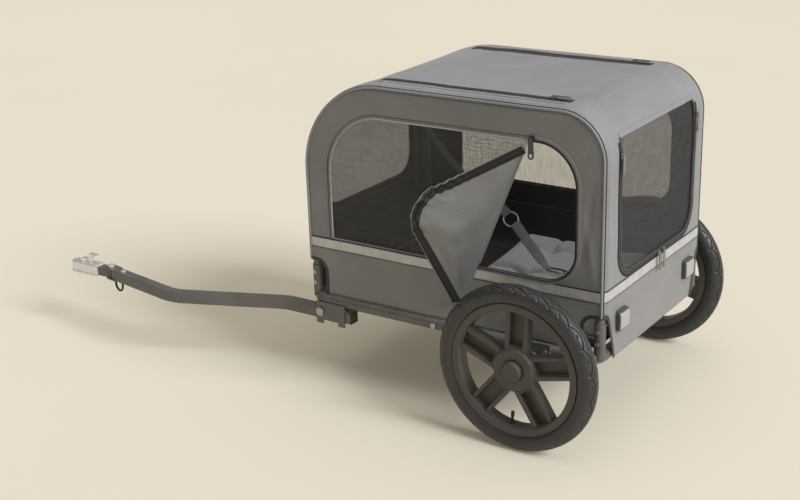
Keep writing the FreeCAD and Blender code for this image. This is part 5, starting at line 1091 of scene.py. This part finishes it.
def route_points(name, points):
    """Smooth line through a cord's route, as the points of a spline."""
    curve = bpy.data.curves.new(name, "CURVE")
    curve.dimensions = "3D"
    spline = curve.splines.new("NURBS")
    spline.points.add(len(points) - 1)
    for point, place in zip(spline.points, to_scene(points)):
        point.co = (*place, 1.0)
    spline.order_u = 3
    spline.use_endpoint_u = True
    spline.resolution_u = 8
    return curve


STRAP_TWIST, TETHER_RING_R = 0.7, 18.5
BAR, RING, HOOK = np.array([-548.7, 0, 724.5]), np.array([-221.0, 0, 409.0]), np.array([-117.0, 0, 296.1])
DOWN, ONWARD = unit(RING - BAR), unit(HOOK - RING)
LEVEL, SAG = np.array([0.0, 1.0, 0.0]), np.array([0.0, 0.0, -1.0])
RING_SIDE = LEVEL * math.cos(STRAP_TWIST) + np.cross(DOWN, LEVEL) * math.sin(STRAP_TWIST)
STRAP_SECTION = [(-12.5, -0.9), (-12.2, 0.9), (-11.4, 1.25), (11.4, 1.25), (12.2, 0.9), (12.5, -0.9),
                 (11.4, -1.25), (-11.4, -1.25)]


def build_tether_fittings():
    """Thin welded ring between the straps, and a snap hook with its gate."""
    turn = np.linspace(0, 2 * math.pi, 49)[:, None]
    circle = RING + TETHER_RING_R * (np.cos(turn) * DOWN + np.sin(turn) * RING_SIDE)
    face = np.tile(np.cross(DOWN, RING_SIDE), (len(circle), 1))
    ring = trim("tether_ring", circle, face, round_section(1.8, 10), BRIGHT, "steel", "tether_hardware",
                closed=True)
    corners = [(0, -8), (0, 8), (30, 10), (52, 5), (52, -5), (30, -10)]
    loop = rounded_path(corners, [5, 5, 12, 5, 5, 12], step=2.5)
    wire = HOOK + np.stack([loop[:, 0], loop[:, 1], np.zeros(len(loop))], -1)
    facing = np.tile([0.0, 0.0, 1.0], (len(wire), 1))
    hook = trim("tether_hook", wire, facing, round_section(2.7, 10), GUNMETAL, "steel", closed=True)
    xs = np.linspace(9, 46, 14)
    gate = HOOK + np.stack([xs, -8.4 - 1.2 * np.sin((xs - 9) / 37 * math.pi), np.full_like(xs, 1.5)], -1)
    gate = trim("tether_hook_gate", gate, facing[:len(gate)], round_section(2.1, 8), BRIGHT, "steel")
    return [ring], [hook, gate]


def strap_fold(bar, away):
    """Strap end sewn back on itself round the ring: route from the strap, over the bar, to the sewn end."""
    face = unit(np.cross(away, RING_SIDE))
    face = face * np.sign(face[2])
    steps = ((30, 1.5), (10, 2.8), (-3, 3.2), (-4.6, 0.0), (-3, -3.2), (10, -2.8), (27, -1.6))
    return [bar + away * along + face * aside for along, aside in steps]


def build_strap(name, route, pieces, twisted, *replaced):
    line = bpy.data.objects.new(name, route_points(name, route))
    path = bpy.data.meshes.new_from_object(line)
    points = np.array([v.co for v in path.vertices])
    bpy.data.objects.remove(line)
    rows = from_scene(points)
    tangents = unit(np.gradient(rows, axis=0))
    share = smooth_step(np.linalg.norm(rows - RING, axis=1), *twisted)[:, None]
    across = RING_SIDE + (LEVEL - RING_SIDE) * share
    piece = trim(name, rows, np.cross(across, tangents), STRAP_SECTION, STRAP, "webbing", *replaced)


def build_tether():
    """Webbing from the front roof bar to the ring, and from the ring to the snap hook on the cushion."""
    ring, hook = build_tether_fittings()
    upper = [BAR + DOWN * 10.8, BAR + DOWN * 60 + SAG * 18, (BAR + RING) / 2 + SAG * 45,
             RING - DOWN * 75 + SAG * 12]
    upper += strap_fold(RING - DOWN * TETHER_RING_R, -DOWN)
    build_strap("tether_webbing", upper, ring, (60.0, 170.0), "tether_strap")
    lower = strap_fold(RING + DOWN * TETHER_RING_R, ONWARD)[::-1]
    lower += [RING + ONWARD * 75, HOOK - ONWARD * 50, HOOK - ONWARD * 3.3]
    build_strap("tether_hook_webbing", lower, hook, (110.0, 150.0))


def build_safety_strap():
    hinge, back = np.array([-1295.0, -340.0, 180.0]), np.array([0.9851, -0.1719, 0.0])
    stations = [(17.0, -16.2), (11.0, -34.0), (30.0, -51.0), (50.0, -35.0), (45.0, -14.3)]
    route = [hinge + back * along + np.array([0, 0, height]) for along, height in stations]
    curve = route_points("safety_loop", route)
    curve.bevel_depth = 3.0 * MM
    curve.bevel_resolution = 4
    curve.use_fill_caps = True
    curve.materials.append(LOOP)
    piece = attach(add_object("safety_loop", curve), "arm", "webbing", "safety_strap")
    to_scene([route[0]])[0]


build_tether()
build_safety_strap()


# Wheels

WHEEL_Y, WHEEL_Z = 366.0, 200.0
RING_R, SECTION_R, LINER_R, BEAD_TURN = 176.0, 24.0, 19.5, 146.0
TREAD_WAVES, TREAD_STEPS = 20, 44
NOTCH_SLOPE, LOBE_RISE = 52.0, 31.0


def tread(turn, radius, height):
    """Lobes that rise from the sidewall to the crown with a groove round them, a hooked slit in each, and a
    slit along the crown between them. Slope is degrees from the crown. The two sides' lobes alternate."""
    slope = np.degrees(np.arctan2(np.abs(height), radius - RING_R))
    outer = np.hypot(radius - RING_R, height) > SECTION_R - 1
    place = (turn * TREAD_WAVES / (2 * math.pi) + np.where(height > 0, 0.0, 0.5)) % 1.0
    from_notch = np.minimum(place, 1 - place)
    bow = np.maximum(np.sin(math.pi * place), 0.02)
    rise = bow ** 0.65
    degree = SECTION_R * math.pi / 180
    wave = 2 * math.pi * (RING_R + SECTION_R) / TREAD_WAVES
    steep = LOBE_RISE * 0.65 * math.pi * np.cos(math.pi * place) * rise / bow
    groove = (slope - NOTCH_SLOPE + LOBE_RISE * rise) * degree / np.hypot(1, steep * degree / wave)
    lift = -3.0 * np.exp(-(groove / 1.4) ** 2)
    shoulder = smooth_step(slope, 46, 56) * (1 - smooth_step(slope, 64, 78))
    lift -= 0.9 * np.exp(-(from_notch / 0.1) ** 2) * shoulder
    stem = np.exp(-((place - 0.5 + 0.004 * (slope - 45)) / 0.026) ** 2)
    lift -= 2.2 * stem * smooth_step(slope, 34, 38) * (1 - smooth_step(slope, 52, 57))
    hook = smooth_step(place, 0.49, 0.52) * (1 - smooth_step(place, 0.57, 0.6))
    lift -= 2.0 * np.exp(-((slope - 38) / 2.8) ** 2) * hook
    lift -= 2.2 * np.exp(-((slope - 19) / 2.4) ** 2) * (1 - smooth_step(from_notch, 0.1, 0.14))
    return np.where(outer, lift, 0.0)


def build_tyres():
    half = np.concatenate([np.arange(0, 60, 1.75), np.arange(60, 76, 4), np.arange(76, BEAD_TURN, 7),
                           [BEAD_TURN]])
    sweep_out = np.radians(np.concatenate([-half[:0:-1], half]))
    sweep_in = np.radians(np.linspace(BEAD_TURN - 8, -BEAD_TURN + 8, 13))
    outer = np.stack([RING_R + SECTION_R * np.cos(sweep_out), SECTION_R * np.sin(sweep_out)], -1)
    inner = np.stack([RING_R - 1 + LINER_R * np.cos(sweep_in), LINER_R * np.sin(sweep_in)], -1)
    for name, side in SIDES.items():
        piece = lathe(f"{name}_tyre_tread", np.vstack([outer, inner]), TREAD_WAVES * TREAD_STEPS,
                      (0, side * WHEEL_Y, WHEEL_Z), (RUBBER,), tread)
        attach(piece, f"{name}_wheel", "tyre", f"{name}_tyre")


def build_valves():
    angle = math.radians(-95)
    out = np.array([math.cos(angle), 0, math.sin(angle)])
    # Distance from the axle, and radius of the stem there
    stations = [(147, 4.5), (140, 4.5), (137, 3.4), (122, 3.2), (121, 4.2), (112, 4.2), (110.5, 3.4),
                (110, 1.0)]
    sides = 16
    turn = (np.arange(sides) * 2 * math.pi / sides)[:, None]
    ring = np.cos(turn) * np.array([0, 1, 0]) + np.sin(turn) * np.cross(out, [0, 1, 0])
    stem = np.vstack([out * reach + radius * ring for reach, radius in stations])
    faces = [tuple(f) for f in grid_faces(len(stations), sides, wrap_columns=True)]
    faces.append(tuple(range(len(stem) - sides, len(stem))))
    for name, side in SIDES.items():
        centre = np.array([0, side * WHEEL_Y, WHEEL_Z])
        attach(new_object(f"{name}_valve", centre + stem, faces, None, (CAP,)), f"{name}_wheel", "rim")


build_tyres()
build_valves()


# Reflectors

def build_lenses():
    face, pitch, half_w, half_h, z_middle = 180.0, 4.4, 22, 20, 292
    low, high = z_middle - half_h, z_middle + half_h
    for name, side in SIDES.items():
        middle = side * 188.0

        def ribbed(y, z):
            tooth = np.abs(((y - middle) / pitch) % 1.0 - 0.5) * 2
            crown = 1 - ((y - middle) / half_w) ** 4 * 1.6 - ((z - z_middle) / half_h) ** 4 * 1.6
            return np.stack(np.broadcast_arrays(face + crown + 0.9 * tooth, y, z), -1)

        def removed(y, z):
            return rounded_box(y, z, (middle - half_w, low), (middle + half_w, high), (5,) * 4)
        ys, zs = middle + spaced(-half_w, half_w, 0.55), spaced(low, high, 2.0)
        piece, _ = cloth(f"{name}_reflector_lens", ys, zs, ribbed, (LENS,), removed, thickness=3.0)
        attach(piece, "trailer", "reflector_lens", *once(name, "reflector_lenses"))


build_lenses()


# Door slider

def plate(outline, low, high):
    """Closed outline in a plane facing the near side, given thickness along Y."""
    count = len(outline)
    rings = [np.stack([outline[:, 0], np.full(count, y), outline[:, 1]], -1) for y in (low, high)]
    faces = [tuple(f) for f in grid_faces(2, count, wrap_columns=True)]
    return np.vstack(rings), faces + [tuple(range(count - 1, -1, -1)), tuple(range(count, 2 * count))]


def build_door_slider():
    """Slider body with its bridge, and a pull with a finger hole hanging from it."""
    x, z, face = DOOR_ZIP_TOP, 709.0, -273.6
    body = [(x - 7, z - 5), (x - 7, z + 5), (x + 7, z + 4), (x + 7, z - 4)]
    body = rounded_path(body, [2] * 4, step=1.5)[:-1]
    bridge = [(x - 4, z - 2), (x - 4, z + 2), (x + 4, z + 2), (x + 4, z - 2)]
    bridge = rounded_path(bridge, [1] * 4, step=1.5)[:-1]
    foot, width = z - 48, 7.4
    turn = np.linspace(0, 2 * math.pi, 33)[:-1]
    upper = np.sin(turn) > 0
    rim = np.stack([x + np.where(upper, 6.2, width) * np.cos(turn),
                    np.where(upper, z - 4, foot + width) + np.where(upper, 4.6, width) * np.sin(turn)], -1)
    hole = np.stack([x + 3.8 * np.cos(turn), foot + 7.4 + np.where(upper, 2.0, 0) + 3.8 * np.sin(turn)], -1)
    points, faces = plate(body, face, face - 4.6)
    more, extra = plate(bridge, face - 4.4, face - 8.2)
    faces += [tuple(i + len(points) for i in f) for f in extra]
    points = np.vstack([points, more])
    start = len(points)
    rings = [np.stack([line[:, 0], np.full(32, y), line[:, 1]], -1)
             for line, y in ((rim, face - 5.2), (rim, face - 7.2), (hole, face - 7.2), (hole, face - 5.2))]
    faces += [tuple(i + start for i in f) for f in grid_faces(4, 32, wrap_rows=True, wrap_columns=True)]
    points = np.vstack([points] + rings)
    piece = new_object("door_zip_slider", points, faces, None, (DARK_PULL,), smooth=False)
    edge = piece.modifiers.new("edge", "BEVEL")
    edge.width = 0.5 * MM
    edge.segments = 2
    attach(piece, "door_zip", "zip_metal", "door_slider")


build_door_slider()


# Finish of the solids that stay

FINISHES = {
    PAINT: ["front_frame_bow", "rear_frame_bow", "floor_cross_tubes", "corner_sockets", "left_side_hoop",
            "right_side_hoop", "roof_crossbars", "axle_brackets", "tow_bracket", "tow_arm", "hitch_yoke",
            "hitch_tongue"],
    ZINC: ["rail_joint_sleeves", "frame_bolts", "wheel_axles", "left_bearings", "right_bearings",
           "tow_arm_bolt"],
    BRIGHT: ["coupler_body", "coupler_lever", "hitch_pivot_bolt"],
    GUNMETAL: [f"{side}_{place}_slider" for place in ("roof", "rear", "low") for side in SIDES],
    RIM: ["left_rim", "right_rim"],
    BUTTON: ["left_release_button", "right_release_button"],
    CAP: ["tow_arm_end_cap"],
    SHELL: ["reflector_housings"],
    BOARD: ["floor_board"],
}
for material, names in FINISHES.items():
    for name in names:
        slots = nodes[name].material_slots
        if slots:
            for slot in slots:
                slot.material = material
        else:
            nodes[name].data.materials.append(material)


# Floor, light and camera

def floor_material():
    g = Graph("paper_floor")
    place = g.coordinates()
    cloud = g.ramp(g.noise(place, 0.6, 3.0), 0.0, 1.0)
    g.shade(Base_Color=g.mix(cloud, (0.64, 0.598, 0.492, 1), (0.655, 0.613, 0.506, 1)), Roughness=0.9,
            Normal=g.bump(g.noise(place, 300.0, 3.0), 0.0002, 0.2))
    return g.material


# Radius and height of the floor's rings: flat to the first, then rising, so that low views end in paper
FLOOR_RINGS = ((50.0, 0.0), (70.0, 0.4), (90.0, 1.7), (110.0, 4.0), (130.0, 7.6))
FLOOR_SIDES = 96
# Middle of the large soft light overhead: behind the trailer and towards its far side
SOFTBOX = (0.367, 0.262, 0.892)
# Energy, width in degrees, way the light travels, colour, and whether it casts shadows
LAMPS = (("key", 3.2, 24.0, (-1.25, 0.14, -0.88), (0.985, 1.0, 1.045), True),
         ("fill", 1.05, 60.0, (0.0, 0.0, -1.0), (1.0, 0.93, 0.82), False))


def build_stage():
    around = np.linspace(0, 2 * math.pi, FLOOR_SIDES, endpoint=False)
    places = [(reach * math.cos(t), reach * math.sin(t), rise)
              for reach, rise in FLOOR_RINGS for t in around]
    faces = [list(range(FLOOR_SIDES))]
    faces += grid_faces(len(FLOOR_RINGS), FLOOR_SIDES, wrap_columns=True).tolist()
    mesh = bpy.data.meshes.new("floor")
    mesh.from_pydata(places, [], faces)
    mesh.polygons.foreach_set("use_smooth", [True] * len(faces))
    mesh.materials.append(floor_material())
    add_object("floor", mesh)
    world = bpy.data.worlds.new("studio")
    bpy.context.scene.world = world
    g = Graph("studio", world)
    heading = g.node("TexCoord").outputs["Generated"]
    toward = g.node("VectorMath", {"operation": "DOT_PRODUCT"}, _0=heading, _1=SOFTBOX).outputs["Value"]
    g.shade(Color=(1.0, 0.965, 0.925, 1), Strength=g.ramp(toward, 0.06, 0.5, 0, 1))
    for name, energy, angle, travel, colour, casts in LAMPS:
        light = bpy.data.lights.new(name, "SUN")
        light.energy = energy
        light.angle = math.radians(angle)
        light.color = colour
        light.use_shadow = casts
        lamp = add_object(name, light)
        lamp.rotation_euler = Vector(travel).to_track_quat("-Z", "Y").to_euler()


def build_camera():
    """Camera where the photograph was taken from."""
    place = Vector((1346.6 * MM + AXLE_X, -2781.4 * MM, 1478.9 * MM))
    right = Vector((0.8305, 0.5563, -0.0286)).normalized()
    ahead = Vector((-0.5317, 0.7765, -0.3381)).normalized()
    up = right.cross(ahead).normalized()
    right = ahead.cross(up).normalized()
    camera = bpy.data.cameras.new("photo_camera")
    camera.sensor_width = 36.0
    camera.lens = 60.68
    camera.clip_end = 400.0
    obj = add_object("photo_camera", camera)
    turn = Matrix((right, up, -ahead)).transposed().to_4x4()
    obj.matrix_world = Matrix.Translation(place) @ turn
    bpy.context.scene.camera = obj


build_stage()
build_camera()
bpy.context.scene.view_settings.view_transform = "Standard"
